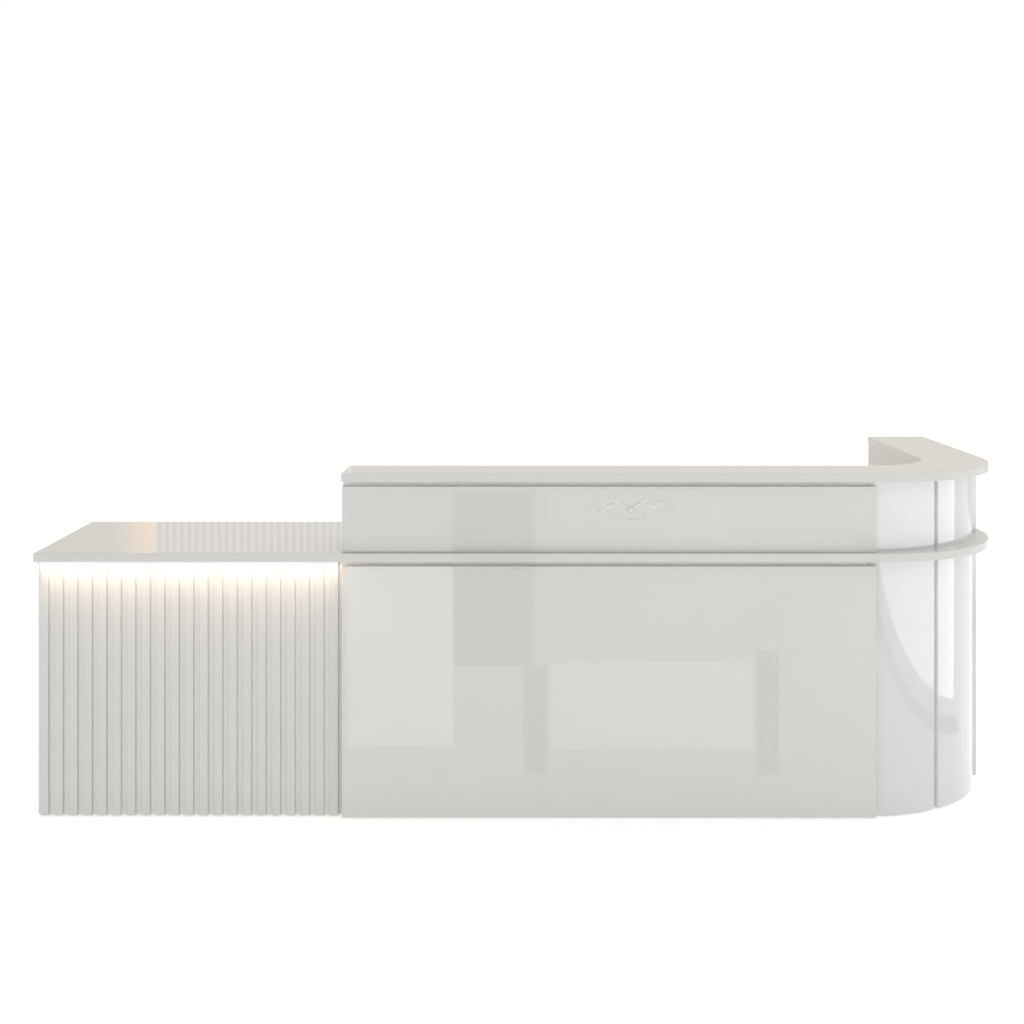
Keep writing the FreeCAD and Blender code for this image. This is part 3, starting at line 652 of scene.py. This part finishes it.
def dress(names, material, radius=0.0, segments=2):
    """Gives CAD nodes a finish, and their sharp edges a small radius."""
    for name in names:
        node = NODES[name]
        node.data.materials.clear()
        node.data.materials.append(material)
        if radius:
            weld = node.modifiers.new("weld", "WELD")
            weld.merge_threshold = 1e-6
            edge = node.modifiers.new("edges", "BEVEL")
            edge.width = radius
            edge.segments = segments
            edge.limit_method = "ANGLE"
            edge.angle_limit = math.radians(40)
            edge.harden_normals = True
            edge.use_clamp_overlap = True


def piece(name, mesh, body, material, smooth=30):
    """Turns a bmesh into a piece that rides on a body."""
    data = bpy.data.meshes.new(name)
    mesh.normal_update()
    mesh.to_mesh(data)
    mesh.free()
    data.materials.append(material)
    data.shade_smooth()
    data.set_sharp_from_angle(angle=math.radians(smooth))
    made = bpy.data.objects.new(name, data)
    bpy.context.scene.collection.objects.link(made)
    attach(made, body)
    return made


def towards(direction, place):
    """A matrix that turns +Z to a direction, at a place."""
    return Matrix.Translation(place) @ UP.rotation_difference(Vector(direction)).to_matrix().to_4x4()


def turned(mesh, outline, place, direction, steps=24):
    """A turned solid: an outline of (radius, height) from the axis round to the axis."""
    rings = []
    matrix = towards(direction, place)
    for radius, height in outline:
        if radius == 0:
            rings.append([mesh.verts.new(matrix @ Vector((0, 0, height)))])
            continue
        angles = [2 * math.pi * step / steps for step in range(steps)]
        spots = [Vector((radius * math.cos(a), radius * math.sin(a), height)) for a in angles]
        rings.append([mesh.verts.new(matrix @ spot) for spot in spots])
    for low, high in zip(rings, rings[1:]):
        for step in range(steps):
            following = (step + 1) % steps
            below = [low[index % len(low)] for index in (step, following)]
            above = [high[index % len(high)] for index in (following, step)]
            mesh.faces.new(list(dict.fromkeys(below + above)))


def pour(part, mesh):
    """Adds one bmesh to another."""
    data = bpy.data.meshes.new("part")
    part.to_mesh(data)
    part.free()
    mesh.from_mesh(data)
    bpy.data.meshes.remove(data)


def block(mesh, low, high, radius=0.0):
    """A box between two corners, with rounded edges."""
    part = bmesh.new()
    bmesh.ops.create_cube(part, size=1)
    for vertex in part.verts:
        vertex.co = Vector(a + (b - a) * (c + 0.5) for a, b, c in zip(low, high, vertex.co))
    if radius:
        bmesh.ops.bevel(part, geom=part.edges[:], offset=radius, segments=3, affect="EDGES", profile=0.5)
    pour(part, mesh)


def scaled(profile, radius, height):
    return [(across * radius, up * height) for across, up in profile]


def pozi_screw(mesh, place, direction, radius):
    """A pan head that stands on a face, hollow in the middle."""
    profile = ((0, 0), (1, 0), (1, 0.25), (0.92, 0.62), (0.7, 0.9), (0.42, 1), (0.3, 0.35), (0, 0.3))
    turned(mesh, scaled(profile, radius, radius * HEAD_RISE), place, direction)


def cross_recess(mesh, place, direction, radius):
    """The dark cross in a screw head: two flat bars painted as the shade in the recess."""
    matrix = towards(direction, place)
    for turn in (math.pi / 4, 3 * math.pi / 4):
        part = bmesh.new()
        bmesh.ops.create_cube(part, size=1)
        scale = Matrix.Diagonal((radius * 1.05, radius * 0.2, radius * 0.05, 1))
        lift = Matrix.Translation((0, 0, radius * HEAD_RISE))
        stand = matrix @ lift @ Matrix.Rotation(turn, 4, "Z") @ scale
        bmesh.ops.transform(part, matrix=stand, verts=part.verts)
        bmesh.ops.bevel(part, geom=part.edges[:], offset=radius * 0.02, segments=1, affect="EDGES")
        pour(part, mesh)


def strip(mesh, rows):
    """Closes rows of points into a solid strip with a flat back and two ends."""
    for first, second in zip(rows, rows[1:]):
        for step in range(len(first)):
            following = (step + 1) % len(first)
            mesh.faces.new((first[step], first[following], second[following], second[step]))
    mesh.faces.new(rows[0])
    mesh.faces.new(rows[-1])
    bmesh.ops.recalc_face_normals(mesh, faces=mesh.faces[:])


def area_lamp(name, place, width, height, power):
    """A rectangular lamp that lights downwards and is not seen itself."""
    lamp = bpy.data.lights.new(name, "AREA")
    lamp.shape = "RECTANGLE"
    lamp.size = width
    lamp.size_y = height
    lamp.energy = power
    made = bpy.data.objects.new(name, lamp)
    made.location = place
    made.visible_camera = False
    bpy.context.scene.collection.objects.link(made)
    return made


def middle(low, high):
    return (low + high) / 2


# ---- operators: finishes


class COUNTER_OT_lacquer(bpy.types.Operator):
    """Lacquer the tops, the flat and bent panels and the slatted front"""

    bl_idname = "counter.lacquer"
    bl_label = "Lacquered panels"

    def execute(self, context):
        finishes = context.scene.counter_finishes
        lacquer = gloss_lacquer("gloss_lacquer", finishes.lacquer, finishes.gloss)
        dress(FLATS, lacquer)
        dress(TOPS, gloss_lacquer("top_lacquer", finishes.lacquer, finishes.gloss, 0.0))
        # Painted shade: the hutch wall gets the darker, warmer copy of the lacquer.
        dress(("hutch_wall",), gloss_lacquer("hutch_lacquer_painted_shade", finishes.hutch, finishes.gloss * 2, 0.2))
        # Painted light: the bent skin and the side panels get lighter copies of the one lacquer, standing
        # in for the brighter light on them.
        dress(SKINS, gloss_lacquer("skin_lacquer_painted_light", finishes.skin, finishes.gloss * 0.7))
        dress(SIDES, gloss_lacquer("side_lacquer_painted_light", [c * 1.1 for c in finishes.skin], finishes.gloss))
        # Painted light: the front backing gets the much lighter copy, to lift the shade in its gaps; the
        # side backing keeps the plain lacquer.
        for name, colour in (("front_backing", finishes.backing), ("side_backing", finishes.lacquer)):
            dress((name,), gloss_lacquer(f"{name}_lacquer", colour, finishes.gloss * 3, 0.0))
        dress(("slatted_front",), satin_slats("satin_slats", finishes.slats), finishes.edge * 1.5)
        dress(("corner_strips",), anodised("corner_strip", (0.86, 0.87, 0.88), 2))
        return {"FINISHED"}


class COUNTER_OT_boards(bpy.types.Operator):
    """Face the carcass boards, doors, drawers and tray with melamine"""

    bl_idname = "counter.boards"
    bl_label = "Boards"

    def execute(self, context):
        finishes = context.scene.counter_finishes
        melamine = melamine_board("melamine", finishes.board)
        dress(BOARDS, melamine, finishes.edge)
        dress(("drawer_upper_front",), melamine)
        inside = [channel * 0.96 for channel in finishes.board]
        dress(DRAWER_BOXES, melamine_board("drawer_melamine", inside), finishes.edge)
        return {"FINISHED"}


class COUNTER_OT_metalwork(bpy.types.Operator):
    """Finish the hinges, slides, bolts, pulls and lock"""

    bl_idname = "counter.metalwork"
    bl_label = "Metalwork"

    def execute(self, context):
        edge = context.scene.counter_finishes.edge
        dress(ZINC, zinc_plate("zinc"), edge * 0.4)
        silver = (0.70, 0.71, 0.73)
        dress(PULLS[:2], anodised("upright_pull", silver, 2), edge)
        dress(PULLS[2:], anodised("level_pull", silver, 0), edge)
        dress(("light_profile",), anodised("light_profile", (0.90, 0.90, 0.90), 0, 0.01))
        dress(("lock_barrel", "lock_plug"), polished_chrome("chrome"), edge * 0.5)
        return {"FINISHED"}


class COUNTER_OT_plastics(bpy.types.Operator):
    """Finish the grommet, glides, end caps, driver and switch"""

    bl_idname = "counter.plastics"
    bl_label = "Plastic parts"

    def execute(self, context):
        edge = context.scene.counter_finishes.edge
        grey = moulded("grey_plastic", (0.33, 0.34, 0.36), 0.42)
        black = moulded("black_plastic", (0.025, 0.025, 0.028), 0.4)
        dress(("grommet_ring", "grommet_cap", "light_end_caps"), grey, edge)
        dress(("feet", "switch_housing"), black, edge)
        dress(("switch_rocker",), moulded("rocker_plastic", (0.03, 0.03, 0.034), 0.22, 0.4), edge)
        dress(("light_driver",), moulded("white_plastic", (0.72, 0.72, 0.70), 0.3, 0.3), edge * 2)
        return {"FINISHED"}


# ---- operators: small pieces


class COUNTER_OT_hinge_screws(bpy.types.Operator):
    """Screw the hinge leaves to the doors and the uprights"""

    bl_idname = "counter.hinge_screws"
    bl_label = "Hinge screws"

    def execute(self, context):
        radius = context.scene.counter_fittings.screw_radius
        zinc = bpy.data.materials["zinc"]
        # Painted shade: a near-black cross on each zinc head stands in for the shade in its recess.
        dark = bare("screw_recess", (0.05, 0.05, 0.05), 0.6)
        doors = {side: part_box(f"hinge_leaves_{side}") for side in ("left", "right")}
        fixed_low, fixed_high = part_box("hinge_leaves_fixed")
        levels = (fixed_low.z + LEAF_MIDDLE, fixed_high.z - LEAF_MIDDLE)
        face = fixed_low.y + LEAF_METAL
        columns = {
            "counter": [fixed_low.x + SCREW_INSET, fixed_high.x - SCREW_INSET],
            "door_left": [doors["left"][1].x - SCREW_INSET],
            "door_right": [doors["right"][0].x + SCREW_INSET],
        }
        for body, columns_x in columns.items():
            heads = bmesh.new()
            recess_shades = bmesh.new()
            for x in columns_x:
                for level in levels:
                    for step in (-1, 0, 1):
                        place = (x, face, level + step * SCREW_STEP)
                        pozi_screw(heads, place, STAFF, radius)
                        cross_recess(recess_shades, place, STAFF, radius)
            piece(f"hinge_screws_{body}", heads, body, zinc, 50)
            piece(f"hinge_screw_recesses_{body}", recess_shades, body, dark, 50)
        return {"FINISHED"}


class COUNTER_OT_slide_balls(bpy.types.Operator):
    """Fill the drawer slides with bearing balls in their retainers"""

    bl_idname = "counter.slide_balls"
    bl_label = "Slide balls"

    def execute(self, context):
        fittings = context.scene.counter_fittings
        radius = fittings.ball_radius
        for name in ("upper", "lower"):
            low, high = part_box(f"drawer_{name}_middles")
            balls = bmesh.new()
            cages = bmesh.new()
            count = int((high.y - low.y) * BALL_SHARE / fittings.ball_pitch)
            for x in (low.x + BALL_INSET, high.x - BALL_INSET):
                for row in (low.z - BALL_LIFT, high.z + BALL_LIFT):
                    for step in range(count):
                        spot = Matrix.Translation((x, high.y - 0.02 - step * fittings.ball_pitch, row))
                        bmesh.ops.create_icosphere(balls, subdivisions=1, radius=radius, matrix=spot)
                    start = (x - 0.0012, high.y - 0.025 - count * fittings.ball_pitch, row - 0.0002)
                    block(cages, start, (x + 0.0012, high.y - 0.012, row + 0.0002), 0.0001)
            body = f"drawer_{name}_middle"
            piece(f"{name}_slide_balls", balls, body, bpy.data.materials["chrome"], 80)
            piece(f"{name}_ball_cages", cages, body, bpy.data.materials["zinc"])
        return {"FINISHED"}


class COUNTER_OT_shelf_holes(bpy.types.Operator):
    """Line the cabinet sides with rows of shelf pin holes"""

    bl_idname = "counter.shelf_holes"
    bl_label = "Shelf pin holes"

    def execute(self, context):
        fittings = context.scene.counter_fittings
        low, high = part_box("low_sides")
        wing_low, wing_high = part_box("wing_uprights")
        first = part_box("shelves")[0].z - fittings.hole_radius
        holes = bmesh.new()
        bore = fittings.hole_radius
        outline = [(0, 0), (bore * 1.2, 0), (bore * 1.12, 0.00012), (bore, 0.00004), (0, 0.00004)]
        for z in (first + fittings.hole_pitch * step for step in range(-5, 8) if step):
            for column in HOLE_COLUMNS:
                turned(holes, outline, (low.x + BOARD, low.y + column, z), (1, 0, 0), 16)
                turned(holes, outline, (high.x - BOARD, low.y + column, z), (-1, 0, 0), 16)
            for x in (wing_low.x + WING_HOLE_COLUMNS[0], wing_high.x - WING_HOLE_COLUMNS[1]):
                turned(holes, outline, (x, wing_low.y + BOARD, z), STAFF, 16)
                turned(holes, outline, (x, wing_high.y - BOARD, z), -STAFF, 16)
        # The shelf holes are thin discs: their brown is partly the raw board's own colour, partly painted
        # shade standing in for the bore's depth.
        piece("shelf_holes", holes, "counter", bare("raw_board_and_bore_shade", (0.20, 0.15, 0.10), 0.8))
        return {"FINISHED"}


class COUNTER_OT_cover_caps(bpy.types.Operator):
    """Press plastic caps over the screws in the end boards"""

    bl_idname = "counter.cover_caps"
    bl_label = "Cover caps"

    def execute(self, context):
        radius = context.scene.counter_fittings.cap_radius
        low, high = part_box("low_sides")
        wing_low, wing_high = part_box("wing_uprights")
        profile = ((0, 0), (1, 0), (1, 0.3), (0.9, 0.8), (0.55, 1), (0, 1.05))
        outline = scaled(profile, radius, CAP_RISE)
        caps = bmesh.new()
        bottom = middle(*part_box("bottom_boards")).z
        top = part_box("top_rails")[1].z - RAIL_MIDDLE
        face = BOARD + 0.0002
        for share in (0.10, 0.5, 0.90):
            x = wing_low.x + (wing_high.x - wing_low.x) * share
            y = low.y + (high.y - low.y) * share
            for z, inwards in ((bottom, 0.03), (top, -0.03)):
                turned(caps, outline, (x, wing_high.y - face, z), -STAFF, 28)
                turned(caps, outline, (low.x + face, y, z + inwards), (1, 0, 0), 28)
        finish = moulded("cap_plastic", (0.68, 0.68, 0.66), 0.35)
        piece("cover_caps", caps, "counter", finish)
        return {"FINISHED"}


class COUNTER_OT_ornament(bpy.types.Operator):
    """Set a low relief of curling stems and leaves in the upper front panel"""

    bl_idname = "counter.ornament"
    bl_label = "Relief ornament"
    LEAVES = ((0.22, 35, 0.14), (0.42, -30, 0.13), (0.58, 40, 0.12), (0.74, -35, 0.10))

    def execute(self, context):
        width = context.scene.counter_fittings.ornament_width
        low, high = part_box("front_panel_upper")
        centre = Vector((low.x + (high.x - low.x) * 0.54, low.y, low.z + (high.z - low.z) * 0.655))
        relief = bmesh.new()
        half = width / 2
        wave = [(share, self.wave(share)) for share in (step / 30 for step in range(24))]
        curl = [self.curl(step / 24) for step in range(21)]
        for side in (-1, 1):
            for path, thick in ((wave, 0.017), (curl, 0.015)):
                spots = [Vector((side * x * half, y * half)) for x, y in path]
                self.ribbon(relief, centre, spots, width * thick)
            for root, lean, length in self.LEAVES:
                start = Vector((side * root * half, self.wave(root) * half))
                self.leaf(relief, centre, start, side, math.radians(lean), width * length)
            for step in (1, 2, 3):
                spot = centre + Vector((side * step * half * 0.17, 0, -half * (0.27 - 0.02 * step)))
                self.bead(relief, spot, width * (0.020 - 0.003 * step))
        self.bead(relief, centre, width * 0.036)
        self.bead(relief, centre + Vector((0, 0, -half * 0.27)), width * 0.022)
        pearl = gloss_lacquer("relief_lacquer", (0.70, 0.695, 0.675), 0.04, 1.0)
        piece("relief_ornament", relief, "counter", pearl, 60)
        return {"FINISHED"}

    def wave(self, share):
        """The height of the stem, which flattens towards its end."""
        return 0.16 * math.sin(share * 4.6) * (1 - share * 0.3)

    def curl(self, share):
        """A point on the spiral at the stem's end."""
        angle = 4.4 * share - 1.6
        return 0.80 + 0.20 * (1 - share) * math.cos(angle), 0.12 + 0.26 * (1 - share) * math.sin(angle)

    def bead(self, mesh, place, radius):
        """A low dome on the panel."""
        profile = ((0, 0), (1, 0), (0.95, 0.3), (0.72, 0.55), (0.38, 0.7), (0, 0.74))
        turned(mesh, scaled(profile, radius, radius), place, -STAFF)

    def ribbon(self, mesh, centre, path, half):
        """A raised line along a path on the panel, rounded across and tapered to its end."""
        profile = ((-1, 0), (-0.85, 0.45), (-0.45, 0.85), (0, 1), (0.45, 0.85), (0.85, 0.45), (1, 0))
        rows = []
        for index, point in enumerate(path):
            ahead = path[min(index + 1, len(path) - 1)] - path[max(index - 1, 0)]
            across = Vector((-ahead.y, ahead.x)).normalized() * half * (1.0 - index / len(path) * 0.7)
            rise = 0.0022 * (1.0 - index / len(path) * 0.5)
            row = []
            for share, lift in profile:
                spot = point + across * share
                row.append(mesh.verts.new(centre + Vector((spot.x, -rise * lift, spot.y))))
            rows.append(row)
        strip(mesh, rows)

    def leaf(self, mesh, centre, root, side, lean, length):
        """A pointed leaf, domed across its vein."""
        turn = Matrix.Rotation(lean, 2)
        rows = []
        for index in range(1, 10):
            share = index / 10
            swell = math.sin(math.pi * share ** 0.8)
            row = []
            for place, lift in ((-1, 0), (-0.6, 0.7), (0, 1), (0.6, 0.7), (1, 0)):
                spot = turn @ Vector((share * length, length * 0.17 * swell * place))
                rise = lift * (0.0005 + 0.0016 * swell)
                spot = Vector((root.x + side * spot.x, -rise, root.y + spot.y))
                row.append(mesh.verts.new(centre + spot))
            rows.append(row)
        strip(mesh, rows)


class COUNTER_OT_strip_light(bpy.types.Operator):
    """Light the opal strip under the worktop's front edge, with its diodes and its warm glow"""

    bl_idname = "counter.strip_light"
    bl_label = "Strip light"

    def execute(self, context):
        light = context.scene.counter_light
        dress(("light_diffuser",), opal_cover("opal_cover", light))
        dress(("light_board",), solder_mask("solder_mask", light.diode_pitch))
        low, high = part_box("light_board")
        diodes = bmesh.new()
        y = middle(low, high).y
        count = int((high.x - low.x) / light.diode_pitch)
        for step in range(count):
            x = low.x + (step + 0.5) * light.diode_pitch
            corner = (x - 0.0014, y - 0.00175, low.z - 0.0007)
            block(diodes, corner, (x + 0.0014, y + 0.00175, low.z), 0.0002)
        yellow = Finish("diode_phosphor", roughness=0.4)
        speck = yellow.noise(900.0)
        yellow.set(base_color=yellow.mix(speck, (0.92, 0.78, 0.34, 1.0), (0.95, 0.88, 0.55, 1.0)))
        piece("diodes", diodes, "counter", yellow.material)
        self.glow(light)
        return {"FINISHED"}

    def glow(self, light):
        """A faint lamp below the cover, and one for the light that spreads down the slats."""
        low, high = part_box("light_diffuser")
        x, y, _ = middle(low, high)
        length, breadth, _ = high - low
        for name, power, place, width, lean in (
            ("strip_glow", light.power, (x, y, low.z - 0.0005), breadth, 8),
            ("strip_spill", light.spill, (x, low.y - 0.047, low.z - 0.009), 0.008, 30),
        ):
            lamp = area_lamp(name, place, length, width, power)
            lamp.data.color = light.colour
            lamp.rotation_euler.x = math.radians(lean)
            lamp.visible_glossy = False


class COUNTER_OT_driver_details(bpy.types.Operator):
    """Add the cable cover, screws and cooling slots of the light's driver; the slots are black strips of
    painted shade on its face
    """

    bl_idname = "counter.driver_details"
    bl_label = "Driver details"

    def execute(self, context):
        low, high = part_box("light_driver")
        covers = bmesh.new()
        screws = bmesh.new()
        slots = bmesh.new()
        for x, way in ((low.x, -1), (high.x, 1)):
            near, far = sorted((x, x + way * 0.014))
            block(covers, (near, low.y, low.z + 0.002), (far, high.y - 0.003, high.z - 0.006), 0.0012)
            for y in (low.y + 0.009, high.y - 0.012):
                pozi_screw(screws, (x + way * 0.009, y, high.z - 0.006), UP, 0.0022)
        # Painted shade: the cooling slots are thin black strips laid on the face, standing in for the
        # shade in the openings.
        for step in range(12):
            x = low.x + 0.03 + step * 0.009
            corner = (x, high.y - 0.0001, low.z + 0.005)
            block(slots, corner, (x + 0.003, high.y + 0.0004, high.z - 0.005), 0.0001)
        piece("driver_covers", covers, "counter", bpy.data.materials["white_plastic"])
        piece("driver_screws", screws, "counter", bpy.data.materials["zinc"], 50)
        piece("driver_slot_shades", slots, "counter", bpy.data.materials["black_plastic"])
        return {"FINISHED"}


class COUNTER_OT_grommet_ribs(bpy.types.Operator):
    """Raise three ribs round the middle of the grommet's cap"""

    bl_idname = "counter.grommet_ribs"
    bl_label = "Grommet ribs"

    def execute(self, context):
        low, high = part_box("grommet_cap")
        half = (high.x - low.x) / 2
        centre = Vector((low.x + half, low.y + half, high.z))
        ribs = bmesh.new()
        for radius in (0.008, 0.0125, 0.017):
            profile = ((-0.0006, 0), (-0.0003, 0.00022), (0.0003, 0.00022), (0.0006, 0))
            self.arc(ribs, [(radius + across, up) for across, up in profile], centre)
        piece("grommet_ribs", ribs, "grommet_cap", bpy.data.materials["grey_plastic"], 60)
        return {"FINISHED"}

    def arc(self, mesh, outline, centre, steps=48):
        """A raised line round the cap that stops short of the notch."""
        start, end = math.radians(140), math.radians(400)
        rows = []
        for step in range(steps + 1):
            angle = start + (end - start) * step / steps
            spots = [Vector((r * math.cos(angle), r * math.sin(angle), h)) for r, h in outline]
            rows.append([mesh.verts.new(centre + spot) for spot in spots])
        strip(mesh, rows)


class COUNTER_OT_studio(bpy.types.Operator):
    """Set the floor, the soft lights, the surround and the camera"""

    bl_idname = "counter.studio"
    bl_label = "Studio"

    def execute(self, context):
        studio = context.scene.counter_studio
        context.scene.view_settings.view_transform = "Standard"
        self.floor(studio)
        self.surround(studio)
        key = area_lamp("key", KEY_PLACE, KEY_WIDTH, KEY_WIDTH, studio.key)
        self.aim(key, Vector(KEY_TARGET) - Vector(KEY_PLACE))
        size = CORNER_CARD_SIZE
        card = self.mirrored_card("corner_card", CORNER_CARD_PLACE, (-1, 0, 0), size, studio.card)
        card.rotation_euler.rotate_axis("Z", math.radians(CORNER_CARD_LEAN))
        self.only_on(card, (*SKINS, *SIDES, "corner_strips"))
        for name, (left, right), (low, high), share in FRONT_CARDS:
            place = (middle(left, right), FRONT_CARD_Y, middle(low, high))
            size = (right - left, high - low)
            card = self.mirrored_card(name, place, STAFF, size, studio.card * share)
            self.only_on(card, (*FLATS, "relief_ornament"))
        for name, columns, rows in FRONT_FLAGS:
            self.flag(name, self.upright(columns, FRONT_CARD_Y, rows), FRONT_FLAG_TONE)
        (left, right), (near, far), lift = FLOOR_FLAG
        corners = [(left, near, lift), (right, near, lift), (right, far, lift), (left, far, lift)]
        self.flag("floor_flag", corners, FLOOR_FLAG_TONE)
        self.striped_wall()
        self.camera(studio)
        return {"FINISHED"}

    def floor(self, studio):
        mesh = bmesh.new()
        bmesh.ops.create_grid(mesh, x_segments=8, y_segments=8, size=FLOOR_HALF)
        data = bpy.data.meshes.new("floor")
        mesh.to_mesh(data)
        mesh.free()
        finish = Finish("floor", roughness=0.7, specular_ior_level=0.2)
        cloud = finish.noise(0.8, 4.0)
        finish.set(base_color=finish.mix(cloud * 0.2, rgba(studio.floor), rgba(studio.floor, 0.985)))
        finish.set(roughness=0.62 + cloud * 0.1, emission_color=(1, 1, 1, 1), emission_strength=0.38)
        data.materials.append(finish.material)
        made = bpy.data.objects.new("floor", data)
        bpy.context.scene.collection.objects.link(made)

    def surround(self, studio):
        """A white room, dimmer overhead and on the customers' side."""
        sky = Sky("surround", color=(1, 1, 1, 1))
        towards_staff, height = sky.axes()[1:]
        bright = towards_staff.ramp(*SKY_SIDES).larger(1 - height.ramp(0.0, SKY_HAZE))
        sky.set(strength=studio.surround + bright * (studio.backdrop - studio.surround))
        bpy.context.scene.world = sky.world

    def aim(self, thing, direction):
        thing.rotation_euler = Vector(direction).to_track_quat("-Z", "Y").to_euler()

    def upright(self, columns, y, rows):
        """The corners of an upright rectangle, from its columns in X and its rows in Z."""
        (left, right), (low, high) = columns, rows
        return [(left, y, low), (right, y, low), (right, y, high), (left, y, high)]

    def striped_wall(self):
        """A warm wall behind the counter, partly slatted, that only shows as a reflection in the tops."""
        corners = self.upright((-WALL_HALF, WALL_HALF), WALL_Y, WALL_HEIGHTS)
        finish = self.flag("striped_wall", corners, 1.0)
        across = finish.axes()[0]
        edge, end = WALL_SLATS_X
        slatted = (across > edge) * (across < end)
        wave = across.pingpong(WALL_SLAT) / WALL_SLAT
        glow = (across < edge) * across.ramp(edge - 0.26, edge + 0.02)
        tone = finish.mix(wave.ramp(0.2, 0.8) * slatted, (0.84, 0.78, 0.72, 1.0), (1.03, 0.99, 0.94, 1.0))
        finish.set(emission_color=finish.mix(glow, tone, (1.30, 1.02, 0.78, 1.0)))

    def flag(self, name, corners, tone):
        """A flat dim screen that only shows as a reflection."""
        mesh = bmesh.new()
        mesh.faces.new([mesh.verts.new(corner) for corner in corners])
        data = bpy.data.meshes.new(name)
        mesh.to_mesh(data)
        mesh.free()
        finish = Finish(name, roughness=1.0, specular_ior_level=0.0, base_color=(0, 0, 0, 1))
        finish.set(emission_color=(1, 1, 1, 1), emission_strength=tone)
        data.materials.append(finish.material)
        made = bpy.data.objects.new(name, data)
        for ray in ("camera", "diffuse", "transmission", "volume_scatter", "shadow"):
            setattr(made, f"visible_{ray}", False)
        bpy.context.scene.collection.objects.link(made)
        return finish

    def mirrored_card(self, name, place, facing, size, brightness):
        """A bright card that only shows as a reflection."""
        width, height = size
        card = area_lamp(name, place, width, height, brightness * math.pi * width * height)
        self.aim(card, facing)
        card.visible_diffuse = False
        return card

    def only_on(self, card, names):
        """Keeps a card out of every part but the named ones."""
        parts = bpy.data.collections.new(f"{card.name}_parts")
        for name in names:
            parts.objects.link(NODES.get(name) or bpy.data.objects[name])
        card.light_linking.receiver_collection = parts

    def camera(self, studio):
        """A level camera in front of the counter, with a shift instead of a tilt."""
        data = bpy.data.cameras.new("camera")
        data.sensor_width = 36
        data.lens = LENS
        data.shift_x, data.shift_y = SHIFT
        data.clip_end = 200
        made = bpy.data.objects.new("camera", data)
        front = CAD_BOX[0][1]
        made.location = (CAMERA_X, front - studio.distance, studio.height)
        made.rotation_euler = (math.radians(90), 0, CAMERA_ROLL)
        bpy.context.scene.collection.objects.link(made)
        bpy.context.scene.camera = made


class COUNTER_PT_panel(bpy.types.Panel):
    """Lists the counter's steps and settings"""

    bl_idname = "COUNTER_PT_panel"
    bl_label = "Checkout Counter"
    bl_space_type = "VIEW_3D"
    bl_region_type = "UI"
    bl_category = "Counter"

    def draw(self, context):
        column = self.layout.column()
        for operator in OPERATORS:
            column.operator(operator.bl_idname)
        for group in GROUPS:
            settings = getattr(context.scene, group)
            for name in settings.__annotations__:
                column.prop(settings, name)


OPERATORS = (
    COUNTER_OT_lacquer,
    COUNTER_OT_boards,
    COUNTER_OT_metalwork,
    COUNTER_OT_plastics,
    COUNTER_OT_hinge_screws,
    COUNTER_OT_slide_balls,
    COUNTER_OT_shelf_holes,
    COUNTER_OT_cover_caps,
    COUNTER_OT_ornament,
    COUNTER_OT_strip_light,
    COUNTER_OT_driver_details,
    COUNTER_OT_grommet_ribs,
    COUNTER_OT_studio,
)
GROUPS = {
    "counter_finishes": CounterFinishes,
    "counter_fittings": CounterFittings,
    "counter_light": CounterLight,
    "counter_studio": CounterStudio,
}


def register():
    for kind in (*GROUPS.values(), *OPERATORS, COUNTER_PT_panel):
        bpy.utils.register_class(kind)
    for name, group in GROUPS.items():
        setattr(bpy.types.Scene, name, bpy.props.PointerProperty(type=group))


def unregister():
    for name in GROUPS:
        delattr(bpy.types.Scene, name)
    for kind in reversed((*GROUPS.values(), *OPERATORS, COUNTER_PT_panel)):
        bpy.utils.unregister_class(kind)


def main():
    register()
    for operator in OPERATORS:
        step = operator.bl_idname.split(".")[1]
        getattr(bpy.ops.counter, step)()


if __name__ == "__main__":
    main()
